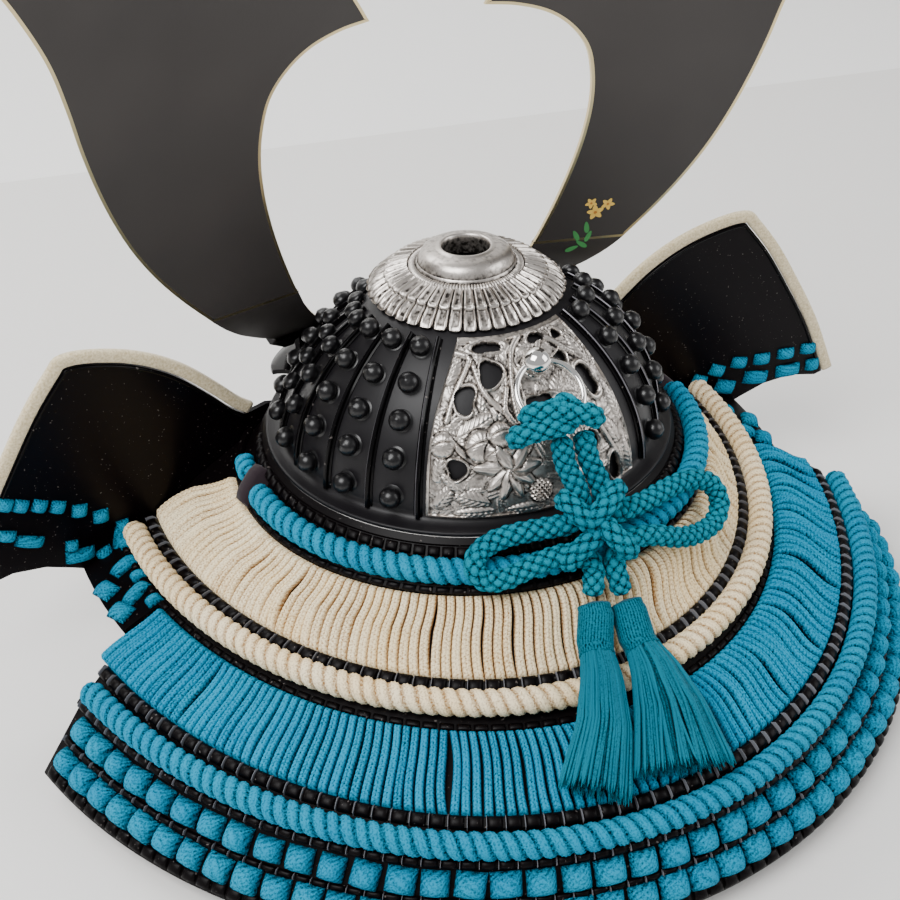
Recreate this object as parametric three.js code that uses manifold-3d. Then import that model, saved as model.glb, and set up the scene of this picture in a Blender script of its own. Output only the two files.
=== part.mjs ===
// Small ornamental samurai helmet: an iron bowl with standing ribs and domed studs, a petalled
// crown fitting, a pierced silver plate with a ring and a tied cord at the back, a laced neck
// guard in two tiers, turned-back wings, a visor and a pair of tall flat horns.
// Millimetres, +Z up. The front faces -Y, the wearer's left is +X. The origin is the centre of
// the bowl's rim, where the helmet sits on a head.
import * as THREE from 'three';
import { mergeVertices } from 'three/addons/utils/BufferGeometryUtils.js';
import Module from 'manifold-3d';

const wasm = await Module();
wasm.setup();

// Clearances
const GAP = 0.35;

// Bowl
const BOWL_RADIUS = 57.2;
const BOWL_HEIGHT = 51.2;
const BOWL_WALL = 1.6;
const BOWL_CREASE = 2.6;
const RIM_RADIUS = 62;
const RIM_TOP = 1.0;
const RIM_BOTTOM = -0.2;
const CROWN_HOLE_RADIUS = 6.9;
const RIB_COUNT = 24;
const RIB_WIDTH = 2.2;
const RIB_HEIGHT = 1.5;
const RIB_FOOT_Z = 3.2;
const STUD_RADIUS = 3.2;
const STUD_LIFT = 0.9;
const STUD_SINK = 2;
const STUD_HEIGHTS = [41.4, 34.8, 27, 18, 7.4];
const BACK_PANEL_ANGLE = 37.5;

// Crown fitting
const DISC_RADIUS = 29.3;
const DISC_EDGE = 1.2;
const PETALS = 44;
const PETAL_DEPTH = 0.55;
const COLLAR_RADIUS = 17.4;
const DOME_HEIGHT = 5.2;

// Pierced plate with its ring
const PIERCED_THICK = 1.3;
const PIERCED_TOP_Z = 43.4;
const PIERCED_FOOT_Z = 3.4;
const PIERCED_LEFT = 35;
const PIERCED_RIGHT = -30;
const STUD_ANGLE = -2.7;
const RING_STUD_Z = 37.2;
const RING_STUD_LIFT = 5;
const RING_STUD_RADIUS = 4.0;
const RING_RADIUS = 9.5;
const RING_WIRE = 0.95;
const RING_SWING = 2;

// Neck guard: each row is an ellipse seen from above, from the rim seat down to the bottom edge
const ROWS = [
  { name: 'rim seat', halfWidth: 63.5, halfDepth: 63.5, centreY: 0, z: -1.5 },
  { name: 'cream lacing top', halfWidth: 74, halfDepth: 74, centreY: 0, z: -11.5 },
  { name: 'upper scale heads', halfWidth: 96.4, halfDepth: 117.1, centreY: -29.5, z: -31.3 },
  { name: 'lower scale heads', halfWidth: 131.2, halfDepth: 160.8, centreY: -37.4, z: -45.4 },
  { name: 'bottom edge', halfWidth: 156.1, halfDepth: 175.4, centreY: -33.8, z: -70.3 },
];
const PLATE_WALL = 1.6;
const SEAT_DEPTH = 2.4;
const LACING_THICK = 2.3;
const ROPE_RADIUS = 3.3;
const LOWER_TIER_FRONT = 71;
const LOWER_TIER_TOP = 2.37;
const UPPER_CORNER_FRONT = 73.5;
const GUARD_STEPS = 26;
const KNOT_PITCH = 9;
const KNOT_SIZE = 7.2;
const KNOT_HEIGHT = 4.4;

// Wings
const WING_THICK = 1.6;
const WING_PLANE = new THREE.Vector3(0.152, -0.986, 0.066).normalize();
const WING_OFFSET = 44.9;
const EDGING_WIDTH = 4;
const EDGING_THICK = 2.8;

// Visor
const VISOR_HALF_ANGLE = 42;
const VISOR_REACH = 22;
const VISOR_DROP = 5;
const VISOR_THICK = 1.6;

// Horns and their holder
const HORN_THICK = 1.2;
const HORN_PLANE = new THREE.Vector3(0.233, -0.949, 0.211).normalize();
const HORN_OFFSET = 52.2;
const HORN_BEND_Z = 33.1;
const HORN_BEND = 15;
const HOLDER_RADIUS = 66;
const HOLDER_THICK = 2;
const HOLDER_HEIGHT = 9;
const HOLDER_HALF_ANGLE = 33;
const SOCKET_WALL = 1.5;

// Cord and tassels
const CORD_DIAMETER = 6;
const CORD_SIDES = 8;
const TASSEL_HEAD_RADIUS = 4.6;
const TASSEL_LOCKS = 8;

// The bow's two cords, from the ring through the knot, round a loop and down to a tassel
const CORD_LEFT = [
  [-0.6, 60.4, 27.7], [-1.1, 60.8, 24], [-1.7, 61.7, 19.6], [-3.4, 64.8, 14], [-3.6, 67.6, 8.9],
  [0.4, 69.3, 5.8], [5, 68.6, 5.4], [11, 67.6, 5.2], [17, 66.6, 4.8], [22.5, 66.2, 3.6],
  [26.8, 67, 1.5], [28.3, 69.2, -1.4], [26.2, 71.6, -3.8], [21.5, 73, -3.8], [16, 73.4, -2.4],
  [10.5, 73.6, -1], [5, 73.9, -0.4], [0.5, 74.8, -0.8], [-2.3, 76, -2.8], [-3, 77.3, -5.6],
  [-2.2, 78.9, -8.8], [-1.4, 80.5, -12],
];
const CORD_RIGHT = [
  [-7.6, 59.9, 27.3], [-8, 60.7, 23.6], [-8.7, 61.9, 19.2], [-10.4, 64.8, 13.4], [-11.2, 67.8, 8.4],
  [-14.2, 69, 4.8], [-18.6, 68, 4.2], [-25.4, 66, 3.4], [-34.4, 62.4, 2.6], [-44, 59.2, 0.6],
  [-51.4, 58.2, -4], [-53.4, 60.4, -9.5], [-49.7, 64.2, -12.6], [-40.8, 68.9, -11.2],
  [-32, 71.9, -7.6], [-24.7, 73.2, -3.6], [-18, 73.9, -1.6], [-13.4, 74.6, -1.4], [-10.4, 75.8, -3.1],
  [-9.5, 77.4, -6.2], [-9.7, 79.3, -9.8], [-10.3, 81.1, -13.8],
];

// Solids

function solidOf(geometry) {
  const bare = geometry.index ? geometry.toNonIndexed() : geometry.clone();
  bare.deleteAttribute('normal');
  bare.deleteAttribute('uv');
  const merged = mergeVertices(bare, 1e-4);
  return new wasm.Manifold(new wasm.Mesh({
    numProp: 3,
    vertProperties: new Float32Array(merged.attributes.position.array),
    triVerts: new Uint32Array(merged.index.array),
  }));
}

function geometryOf(solid) {
  const mesh = solid.getMesh();
  const geometry = new THREE.BufferGeometry();
  geometry.setAttribute('position', new THREE.BufferAttribute(new Float32Array(mesh.vertProperties), 3));
  geometry.setIndex(new THREE.BufferAttribute(new Uint32Array(mesh.triVerts), 1));
  return geometry;
}

function join(geometries) {
  return geometryOf(geometries.map(solidOf).reduce((whole, part) => whole.add(part)));
}

function cut(geometry, tools) {
  return geometryOf(tools.map(solidOf).reduce((whole, tool) => whole.subtract(tool), solidOf(geometry)));
}

function volumeOf(positions, index) {
  let total = 0;
  const at = (i) => new THREE.Vector3(...positions.slice(3 * i, 3 * i + 3));
  for (let i = 0; i < index.length; i += 3) {
    total += at(index[i]).dot(at(index[i + 1]).cross(at(index[i + 2])));
  }
  return total;
}

// A skin over rings of points. Open stacks get a fan on each end, closed ones meet themselves.
function loft(rings, closed = false) {
  const count = rings[0].length;
  const positions = rings.flat().flatMap((p) => [p.x, p.y, p.z]);
  const index = [];
  const last = closed ? rings.length : rings.length - 1;
  for (let i = 0; i < last; i += 1) {
    const next = (i + 1) % rings.length;
    for (let j = 0; j < count; j += 1) {
      const side = (j + 1) % count;
      const [a, b] = [i * count + j, i * count + side];
      const [c, d] = [next * count + j, next * count + side];
      index.push(a, b, d, a, d, c);
    }
  }
  if (!closed) {
    for (const [ring, flip] of [[0, true], [rings.length - 1, false]]) {
      const faces = THREE.ShapeUtils.triangulateShape(flatRing(rings[ring]), []);
      for (const [a, b, c] of faces) {
        const face = [a, b, c].map((v) => ring * count + v);
        index.push(...(flip ? face.reverse() : face));
      }
    }
  }
  if (volumeOf(positions, index) < 0) index.reverse();
  const geometry = new THREE.BufferGeometry();
  geometry.setAttribute('position', new THREE.Float32BufferAttribute(positions, 3));
  geometry.setIndex(index);
  return geometry;
}

// A ring's points seen along its own normal, turning the way the skin turns
function flatRing(points) {
  const normal = new THREE.Vector3();
  points.forEach((p, i) => normal.add(p.clone().cross(points[(i + 1) % points.length])));
  normal.normalize();
  const across = points[1].clone().sub(points[0]).normalize();
  const up = normal.clone().cross(across);
  return points.map((p) => new THREE.Vector2(p.dot(across), p.dot(up)));
}

// Bowl forms

const radians = THREE.MathUtils.degToRad;

// A point at an angle from the back towards +X, at a radius and a height
function polar(angle, radius, z) {
  return new THREE.Vector3(radius * Math.sin(radians(angle)), radius * Math.cos(radians(angle)), z);
}

function bowlRadius(z, lift = 0) {
  return (BOWL_RADIUS + lift) * Math.sqrt(Math.max(0, 1 - (z / (BOWL_HEIGHT + lift)) ** 2));
}

function bowlZ(radius, lift = 0) {
  return (BOWL_HEIGHT + lift) * Math.sqrt(Math.max(0, 1 - (radius / (BOWL_RADIUS + lift)) ** 2));
}

// The outward direction of the bowl's side in an upright plane, as radius and height shares
function bowlNormal(z) {
  const r = bowlRadius(z) / BOWL_RADIUS ** 2;
  const h = z / BOWL_HEIGHT ** 2;
  const length = Math.hypot(r, h);
  return [r / length, h / length];
}

function bowlPoint(angle, z, lift) {
  const [r, h] = bowlNormal(z);
  return polar(angle, bowlRadius(z) + r * lift, z + h * lift);
}

function latheOf(profile, segments) {
  return new THREE.LatheGeometry(profile.map(([r, z]) => new THREE.Vector2(r, z)), segments).rotateX(Math.PI / 2);
}

function bowlShell() {
  const levels = [RIB_FOOT_Z, 15, 27, 37.5, 46];
  const outer = levels.map((z) => [bowlRadius(z), z]);
  const top = bowlZ(CROWN_HOLE_RADIUS + 1);
  const inner = [46, 34, 17].map((z) => [bowlRadius(z, -BOWL_WALL), z * (1 - BOWL_WALL / BOWL_HEIGHT)]);
  const profile = [
    [RIM_RADIUS, RIM_BOTTOM], [RIM_RADIUS, RIM_TOP], [bowlRadius(BOWL_CREASE) + 0.6, BOWL_CREASE],
    ...outer, [CROWN_HOLE_RADIUS + 1, top], [CROWN_HOLE_RADIUS + 1, top - BOWL_WALL],
    ...inner, [BOWL_RADIUS - BOWL_WALL, RIM_BOTTOM], [RIM_RADIUS, RIM_BOTTOM],
  ];
  return latheOf(profile, RIB_COUNT).rotateZ(Math.PI / RIB_COUNT);
}

function rib(angle) {
  const top = bowlZ(DISC_RADIUS + 1.2);
  const rings = [RIB_FOOT_Z, 19, 34, top].map((z) => {
    const [r, h] = bowlNormal(z);
    const share = bowlRadius(z) / BOWL_RADIUS;
    const half = (RIB_WIDTH / 2) * (0.55 + 0.45 * share);
    return [[-half, -0.8], [half, -0.8], [half * 0.7, RIB_HEIGHT], [-half * 0.7, RIB_HEIGHT]].map(([side, lift]) => {
      const radius = bowlRadius(z) + r * lift;
      return polar(angle + THREE.MathUtils.radToDeg(side / radius), radius, z + h * lift);
    });
  });
  return loft(rings);
}

function stud(angle, z) {
  const dome = latheOf([[0, -STUD_SINK], [STUD_RADIUS, -STUD_SINK], [STUD_RADIUS * 0.62, STUD_RADIUS * 0.92],
    [0, STUD_RADIUS * 0.92]], 5);
  const [r, h] = bowlNormal(z);
  const out = polar(angle, r, h);
  dome.applyQuaternion(new THREE.Quaternion().setFromUnitVectors(new THREE.Vector3(0, 0, 1), out));
  const at = bowlPoint(angle, z, STUD_LIFT);
  return dome.translate(at.x, at.y, at.z);
}

function bowl() {
  const step = 360 / RIB_COUNT;
  const parts = [bowlShell()];
  for (let i = 0; i < RIB_COUNT; i += 1) {
    const angle = (i + 0.5) * step - 180;
    if (Math.abs(angle) > BACK_PANEL_ANGLE - 1) parts.push(rib(angle));
  }
  for (let i = 0; i < RIB_COUNT; i += 1) {
    const angle = i * step - 180;
    if (Math.abs(angle) > BACK_PANEL_ANGLE) STUD_HEIGHTS.forEach((z) => parts.push(stud(angle, z)));
  }
  return join(parts);
}

// Crown fitting: two tiers of petals under a collar and a domed ring round the hole
function crownFitting() {
  const seat = (r) => bowlZ(r) + GAP + 0.15;
  const edge = seat(DISC_RADIUS);
  const levels = [
    { r: DISC_RADIUS, z: edge, wave: 1 },
    { r: DISC_RADIUS, z: edge + DISC_EDGE, wave: 1 },
    { r: 25.4, z: seat(25.4) + 2.6, wave: 1 },
    { r: COLLAR_RADIUS + 1.2, z: seat(COLLAR_RADIUS) + 2.6, wave: 0 },
    { r: COLLAR_RADIUS, z: seat(COLLAR_RADIUS) + 2.4, wave: 0 },
    { r: 13.4, z: seat(13) + DOME_HEIGHT + 0.9, wave: 0 },
    { r: CROWN_HOLE_RADIUS, z: seat(8) + DOME_HEIGHT - 0.6, wave: 0 },
    { r: CROWN_HOLE_RADIUS, z: seat(8), wave: 0 },
    { r: 18, z: seat(18), wave: 0 },
  ];
  const rings = [];
  for (let i = 0; i < 2 * PETALS; i += 1) {
    const angle = (180 / PETALS) * i;
    const notch = i % 2;
    rings.push(levels.map(({ r, z, wave }) => polar(angle, r - notch * wave * PETAL_DEPTH * 1.3,
      z - notch * wave * (z > edge ? PETAL_DEPTH : 0))));
  }
  return loft(rings, true);
}

// Pierced plate: leaf-like openings at an angle and a height, with a width, a height and a turn
const PIERCINGS = [
  { angle: 15, z: 41.3, width: 7, height: 2.6, turn: 0 },
  { angle: 14, z: 36.4, width: 5.4, height: 4.6, turn: 20 },
  { angle: 24, z: 32.4, width: 4, height: 6, turn: 0 },
  { angle: 26.5, z: 17, width: 5.2, height: 4.2, turn: -20 },
  { angle: -9.5, z: 41.4, width: 4, height: 2.4, turn: 0 },
  { angle: -20.5, z: 41, width: 3, height: 2.4, turn: 0 },
  { angle: -15.5, z: 36.6, width: 4.4, height: 4, turn: -30 },
  { angle: -22, z: 31, width: 4.6, height: 8, turn: -12 },
  { angle: -0.5, z: 30.5, width: 7.5, height: 2.6, turn: 0 },
  { angle: 9.5, z: 22, width: 3, height: 5.5, turn: 25 },
  { angle: -15, z: 17, width: 3.2, height: 5.5, turn: 15 },
  { angle: -21, z: 8.6, width: 4.2, height: 6.4, turn: -8 },
];

function piercing({ angle, z, width, height, turn }) {
  const outline = new THREE.Shape();
  outline.absellipse(0, 0, width / 2, height / 2, 0, 2 * Math.PI);
  const tool = new THREE.ExtrudeGeometry(outline, { depth: 8, bevelEnabled: false, curveSegments: 3 });
  tool.translate(0, 0, -4).rotateZ(radians(turn)).rotateX(-Math.PI / 2);
  const [r, h] = bowlNormal(z);
  tool.rotateX(Math.atan2(h, r)).rotateZ(radians(-angle));
  const at = bowlPoint(angle, z, GAP + PIERCED_THICK / 2);
  return tool.translate(at.x, at.y, at.z);
}

function piercedPlate() {
  const rings = [];
  const across = 10;
  for (let i = 0; i <= across; i += 1) {
    const levels = [PIERCED_FOOT_Z, 15, 27, 37, PIERCED_TOP_Z].map((z) => {
      const narrow = 1 - 0.2 * Math.max(0, (z - 20) / (PIERCED_TOP_Z - 20)) ** 2;
      const left = PIERCED_LEFT * narrow;
      return { z, angle: left + ((PIERCED_RIGHT - left) * i) / across };
    });
    const inner = levels.map(({ z, angle }) => bowlPoint(angle, z, GAP));
    const outer = levels.map(({ z, angle }) => bowlPoint(angle, z, GAP + PIERCED_THICK)).reverse();
    rings.push([...inner, ...outer]);
  }
  return cut(loft(rings), PIERCINGS.map(piercing));
}

function standOnBowl(geometry, angle, z, lift) {
  const [r, h] = bowlNormal(z);
  const out = polar(angle, r, h);
  geometry.applyQuaternion(new THREE.Quaternion().setFromUnitVectors(new THREE.Vector3(0, 0, 1), out));
  const at = bowlPoint(angle, z, lift);
  return geometry.translate(at.x, at.y, at.z);
}

function ringStudBody() {
  const foot = GAP + PIERCED_THICK + GAP;
  const middle = RING_STUD_LIFT - foot;
  const profile = [[0, 0], [RING_STUD_RADIUS * 0.66, 0], ...[-0.42, 0, 0.42, 0.8].map((share) => [
    RING_STUD_RADIUS * Math.sqrt(1 - share ** 2), middle + RING_STUD_RADIUS * share]), [0, middle + RING_STUD_RADIUS]];
  return standOnBowl(latheOf(profile, 12), STUD_ANGLE, RING_STUD_Z, foot);
}

// The ring's wire runs through the stud, and the ring hangs down from it
function ringAt(wire) {
  const ring = new THREE.TorusGeometry(RING_RADIUS, wire, 5, 20);
  const swing = radians(RING_SWING);
  const [r, h] = bowlNormal(RING_STUD_Z);
  const down = polar(STUD_ANGLE, h, -r);
  const aside = polar(STUD_ANGLE + 90, 1, 0);
  standOnBowl(ring, STUD_ANGLE, RING_STUD_Z, RING_STUD_LIFT);
  const shift = down.multiplyScalar(RING_RADIUS * Math.cos(swing)).addScaledVector(aside, -RING_RADIUS * Math.sin(swing));
  return ring.translate(shift.x, shift.y, shift.z);
}

function cordRing() {
  return ringAt(RING_WIRE);
}

function ringStud() {
  return cut(ringStudBody(), [ringAt(RING_WIRE + GAP)]);
}

// Neck guard forms: a smooth skin through the rows, with a place along it, k, and a lift from it

function rowAt(k) {
  const i = Math.min(Math.max(Math.floor(k), 0), ROWS.length - 2);
  const u = k - i;
  const pick = (key) => {
    const at = (n) => ROWS[n][key];
    const p1 = at(i);
    const p2 = at(i + 1);
    const p0 = i > 0 ? at(i - 1) : 2 * p1 - p2;
    const p3 = i < ROWS.length - 2 ? at(i + 2) : 2 * p2 - p1;
    return 0.5 * (2 * p1 + (p2 - p0) * u + (2 * p0 - 5 * p1 + 4 * p2 - p3) * u * u
      + (3 * p1 - p0 - 3 * p2 + p3) * u ** 3);
  };
  return { halfWidth: pick('halfWidth'), halfDepth: pick('halfDepth'), centreY: pick('centreY'), z: pick('z') };
}

function skin(turn, k) {
  const row = rowAt(k);
  const t = radians(turn);
  return new THREE.Vector3(row.halfWidth * Math.sin(t), row.centreY + row.halfDepth * Math.cos(t), row.z);
}

function guard(turn, k, lift) {
  const along = skin(turn + 0.5, k).sub(skin(turn - 0.5, k));
  const down = skin(turn, k + 0.02).sub(skin(turn, k - 0.02));
  const normal = along.cross(down).normalize();
  return skin(turn, k).addScaledVector(normal, lift);
}

// Where the guard's skin meets the back of a wing, less a clearance
function wingTurn(k, lift, clear) {
  let low = 60;
  let high = 150;
  for (let i = 0; i < 30; i += 1) {
    const middle = (low + high) / 2;
    if (guard(middle, k, lift).dot(WING_PLANE) > WING_OFFSET - clear) high = middle;
    else low = middle;
  }
  return low;
}

function spread(limit, steps) {
  return Array.from({ length: steps + 1 }, (_, i) => -limit + (2 * limit * i) / steps);
}

// A band round the guard. The section lists k and lift, and the front limit may change with k.
function band(section, front, steps = GUARD_STEPS) {
  const rings = spread(1, steps).map((share) => {
    const points = typeof section === 'function' ? section(share) : section;
    return points.map(([k, lift]) => guard(share * front(k, lift), k, lift));
  });
  return loft(rings);
}

// The lacing and rope stop short of the wings, further back near the rim
const LACE_FRONT = [
  { k: 0, turn: 112 }, { k: 0.5, turn: 103 }, { k: 1, turn: 102 }, { k: 1.5, turn: 98.5 },
  { k: 2, turn: 93 }, { k: 2.3, turn: 89.5 }, { k: 2.7, turn: 86 },
];

function laceFront(k) {
  const next = Math.max(1, LACE_FRONT.findIndex((row) => row.k > k));
  const [a, b] = [LACE_FRONT[next - 1], LACE_FRONT[next]];
  return a.turn + ((b.turn - a.turn) * (k - a.k)) / (b.k - a.k);
}

// Lacing ends at its own limit or just clear of the wing, whichever comes first
const laceEnd = (k, lift) => Math.min(laceFront(k), wingTurn(k, lift, GAP));
const ropeEnd = (k) => wingTurn(k, 2 * ROPE_RADIUS, 3 * GAP);
const lowerFront = () => LOWER_TIER_FRONT;

function ridge(from, to, height = 0) {
  return [[from, -SEAT_DEPTH], [from + 0.01, height], [to - 0.01, height], [to, -SEAT_DEPTH]];
}

const PLATE_END = { behindLacing: 2.353, corner: 2.68 };

// The upper plate's top edge, tucked just under the bowl's rim
const RIM_SEAT = { k: -0.13, lift: -0.46 };

function neckPlateUpper() {
  const section = (share) => {
    const turn = Math.abs(share) * laceFront(2.3);
    const end = turn > UPPER_CORNER_FRONT ? PLATE_END.corner : PLATE_END.behindLacing;
    const seat = [[RIM_SEAT.k, -SEAT_DEPTH], [RIM_SEAT.k, RIM_SEAT.lift], [0, RIM_SEAT.lift]];
    const top = [[0.03, 0], [0.26, 0], [0.27, -SEAT_DEPTH], ...ridge(0.84, 0.95), [1.46, -SEAT_DEPTH],
      ...ridge(1.955, 2.045)];
    const under = [end, 2, 1.46, 0.9, RIM_SEAT.k].map((k) => [k, -SEAT_DEPTH - PLATE_WALL]);
    return [...seat, ...top, [end, -SEAT_DEPTH], ...under];
  };
  return band(section, (k, lift) => wingTurn(k, lift, GAP), 30);
}

function neckPlateLower() {
  const under = -SEAT_DEPTH - PLATE_WALL;
  const top = [[2.66, -SEAT_DEPTH], ...ridge(2.95, 3.05), ...ridge(3.3, 3.36), [3.67, -SEAT_DEPTH]];
  return band([[LOWER_TIER_TOP, -SEAT_DEPTH], ...top, [4, -SEAT_DEPTH], [4, under], [3, under],
    [LOWER_TIER_TOP, under]], lowerFront);
}

function lacing(from, to, front) {
  const foot = 1.4 * GAP - SEAT_DEPTH;
  const crest = foot + LACING_THICK;
  const middle = (from + to) / 2;
  return band([[from, foot], [from, crest - 0.3], [middle, crest + 0.3], [to, crest - 0.5], [to, foot],
    [middle, foot]], front);
}

function rope(k, front, turns = 6) {
  const lift = GAP - SEAT_DEPTH + ROPE_RADIUS;
  const rings = spread(1, GUARD_STEPS).map((share) => {
    const turn = share * front(k);
    const centre = guard(turn, k, lift);
    const out = guard(turn, k, lift + 1).sub(centre);
    const down = guard(turn, k + 0.02, lift).sub(centre).normalize();
    return Array.from({ length: turns }, (_, i) => {
      const a = (2 * Math.PI * (i + 0.5)) / turns;
      return centre.clone().addScaledVector(out, ROPE_RADIUS * Math.cos(a)).addScaledVector(down, ROPE_RADIUS * Math.sin(a));
    });
  });
  return loft(rings);
}

// A row of wound cord knots: fat turns joined by the thin strand that runs from one to the next
function knotRow(k, shift) {
  const row = rowAt(k);
  const arc = radians(LOWER_TIER_FRONT) * (row.halfWidth + row.halfDepth);
  const count = Math.floor(arc / KNOT_PITCH);
  const foot = GAP - SEAT_DEPTH;
  const places = [{ at: 0.05, size: 0.45 }, { at: 0.55, size: 1 }];
  const rings = [];
  for (let i = 0; i < count; i += 1) {
    for (const { at, size } of places) {
      const turn = (LOWER_TIER_FRONT - 1.5) * ((2 * (i + at) + shift) / (count + shift) - 1);
      const centre = guard(turn, k, foot);
      const out = guard(turn, k, foot + 1).sub(centre);
      const down = guard(turn, k + 0.02, foot).sub(centre).normalize();
      const half = (KNOT_SIZE / 2) * size;
      rings.push([[-1, 0], [-0.8, 1], [0.8, 1], [1, 0]].map(([b, rise]) => centre.clone()
        .addScaledVector(out, rise * KNOT_HEIGHT * size).addScaledVector(down, b * half)));
    }
  }
  return loft(rings);
}

// Wings: flat plates turned back at the guard's front ends, drawn as x and z on their own plane

function onPlane(normal, offset, x, z) {
  return (offset - normal.x * x - normal.z * z) / normal.y;
}

// The free edge of a wing from the rim, over the top corner and down to the lower corner
const WING_EDGE = [
  { x: 58, z: -1.6 }, { x: 62, z: 1.8 }, { x: 67.6, z: 8.3 }, { x: 78.4, z: 19.6 },
  { x: 89, z: 27.2 }, { x: 99.6, z: 32 }, { x: 111, z: 34.8 }, { x: 116, z: 34.2 },
  { x: 119, z: 31 }, { x: 127, z: 21 }, { x: 136, z: 7 }, { x: 147, z: -12 }, { x: 157, z: -34 },
];
const WING_ROOT = { x: 53.5, z: -3.4 };
const WING_FOOT = [
  { x: 154, z: -37 }, { x: 144, z: -35.5 }, { x: 134, z: -37.5 }, { x: 126, z: -41.5 },
];

function planar(points, normal, offset, thick, side) {
  const front = points.map(({ x, z }) => new THREE.Vector3(x, onPlane(normal, offset, x, z), z));
  const back = front.map((p) => p.clone().addScaledVector(normal, thick));
  return loft([front, back].map((ring) => ring.map((p) => p.multiply(new THREE.Vector3(side, 1, 1)))));
}

// Points moved in from an open edge by a distance, on the wing's side
function inset(points, distance) {
  return points.map((p, i) => {
    const before = points[Math.max(0, i - 1)];
    const after = points[Math.min(points.length - 1, i + 1)];
    const length = Math.hypot(after.x - before.x, after.z - before.z);
    return { x: p.x + ((after.z - before.z) / length) * distance, z: p.z - ((after.x - before.x) / length) * distance };
  });
}

function foldLine() {
  const inner = -SEAT_DEPTH - PLATE_WALL;
  return [2.66, 2.3, 2, 1.6, 1.2, 0.8, 0.4, 0.1].map((k) => {
    const p = guard(wingTurn(k, inner, GAP), k, inner);
    return { x: p.x, z: p.z };
  });
}

function wing(side) {
  const face = [WING_ROOT, ...inset(WING_EDGE, EDGING_WIDTH + GAP)];
  return planar([...face, ...WING_FOOT.map(({ x, z }) => ({ x: x - EDGING_WIDTH * 0.9, z })), ...foldLine()],
    WING_PLANE, WING_OFFSET, WING_THICK, side);
}

function wingEdging(side) {
  const rise = (EDGING_THICK - WING_THICK) / 2;
  return planar([...WING_EDGE, ...inset(WING_EDGE, EDGING_WIDTH).reverse()],
    WING_PLANE, WING_OFFSET - rise, EDGING_THICK, side);
}

// Visor: a short brim round the front of the rim, widest in the middle
function visor() {
  const rings = spread(VISOR_HALF_ANGLE, 16).map((angle) => {
    const share = Math.cos((angle / VISOR_HALF_ANGLE) * (Math.PI / 2) * 0.96);
    const reach = 3 + (VISOR_REACH - 3) * Math.sqrt(share);
    const radius = RIM_RADIUS + GAP;
    const at = (r, drop) => polar(180 + angle, radius + r, RIM_TOP - drop);
    const drop = (VISOR_DROP * reach) / VISOR_REACH;
    return [at(0, 0), at(reach * 0.5, drop * 0.3), at(reach, drop), at(reach, drop + VISOR_THICK),
      at(reach * 0.5, drop * 0.3 + VISOR_THICK), at(0, VISOR_THICK)];
  });
  return loft(rings);
}

// Horns: flat blades with a broad forked head, drawn as x and z and bent forward at the foot
const HORN_OUTER = [
  { x: 68.8, z: 33.1 },
  { x: 77.6, z: 44.2 }, { x: 84.8, z: 54.8 }, { x: 90.8, z: 66 }, { x: 95.4, z: 77.6 },
  { x: 98.8, z: 89 }, { x: 101.4, z: 100.4 }, { x: 103.4, z: 112 }, { x: 106.4, z: 125 },
  { x: 111.6, z: 137.7 }, { x: 118, z: 150 }, { x: 127, z: 168 }, { x: 133, z: 186 }, { x: 134, z: 203 },
];
const HORN_INNER = [
  { x: 131, z: 203 }, { x: 121, z: 189 }, { x: 107, z: 174 }, { x: 91, z: 161 }, { x: 75, z: 153 },
  { x: 61, z: 152 }, { x: 50, z: 156 }, { x: 41, z: 150 }, { x: 31, z: 138 }, { x: 21.4, z: 124 },
  { x: 17.2, z: 117 }, { x: 26.4, z: 116 }, { x: 35.8, z: 113 }, { x: 43, z: 107.8 }, { x: 47.8, z: 101.4 },
  { x: 50.2, z: 93.4 }, { x: 51.2, z: 84 }, { x: 50.6, z: 73.4 }, { x: 48.6, z: 61.8 },
  { x: 45.4, z: 49.4 }, { x: 41, z: 36 }, { x: 39.8, z: 33.1 },
];
// The stem below the blade, from its foot in the socket up
const HORN_STEM = [
  { z: 5.2, inner: 22.6, outer: 36 }, { z: 10, inner: 26, outer: 43.5 }, { z: 16, inner: 30.6, outer: 51.6 },
  { z: 22.4, inner: 34.8, outer: 59.3 }, { z: 28, inner: 37.8, outer: 64.6 }, { z: 33.1, inner: 39.8, outer: 68.8 },
];

function hornY(x, z) {
  const bend = Math.max(0, (HORN_BEND_Z - z) / (HORN_BEND_Z - HORN_STEM[0].z)) ** 1.6;
  return onPlane(HORN_PLANE, HORN_OFFSET, x, z) - HORN_BEND * bend;
}

function hornStem(side, thick, grow) {
  return loft(HORN_STEM.map(({ z, inner, outer }, i) => {
    const level = z - (i === 0 ? grow : 0);
    return [[inner - grow, -1], [outer + grow, -1], [outer + grow, 1], [inner - grow, 1]]
      .map(([x, face]) => new THREE.Vector3(side * x, hornY(x, z) + (face * thick) / 2, level));
  }));
}

function horn(side) {
  const outline = [...HORN_OUTER, ...HORN_INNER];
  const blade = loft([-1, 1].map((face) => outline.map(({ x, z }) => new THREE.Vector3(
    side * x, onPlane(HORN_PLANE, HORN_OFFSET, x, z) + (face * HORN_THICK) / 2, z))));
  return join([blade, hornStem(side, HORN_THICK, 0)]);
}

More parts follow.
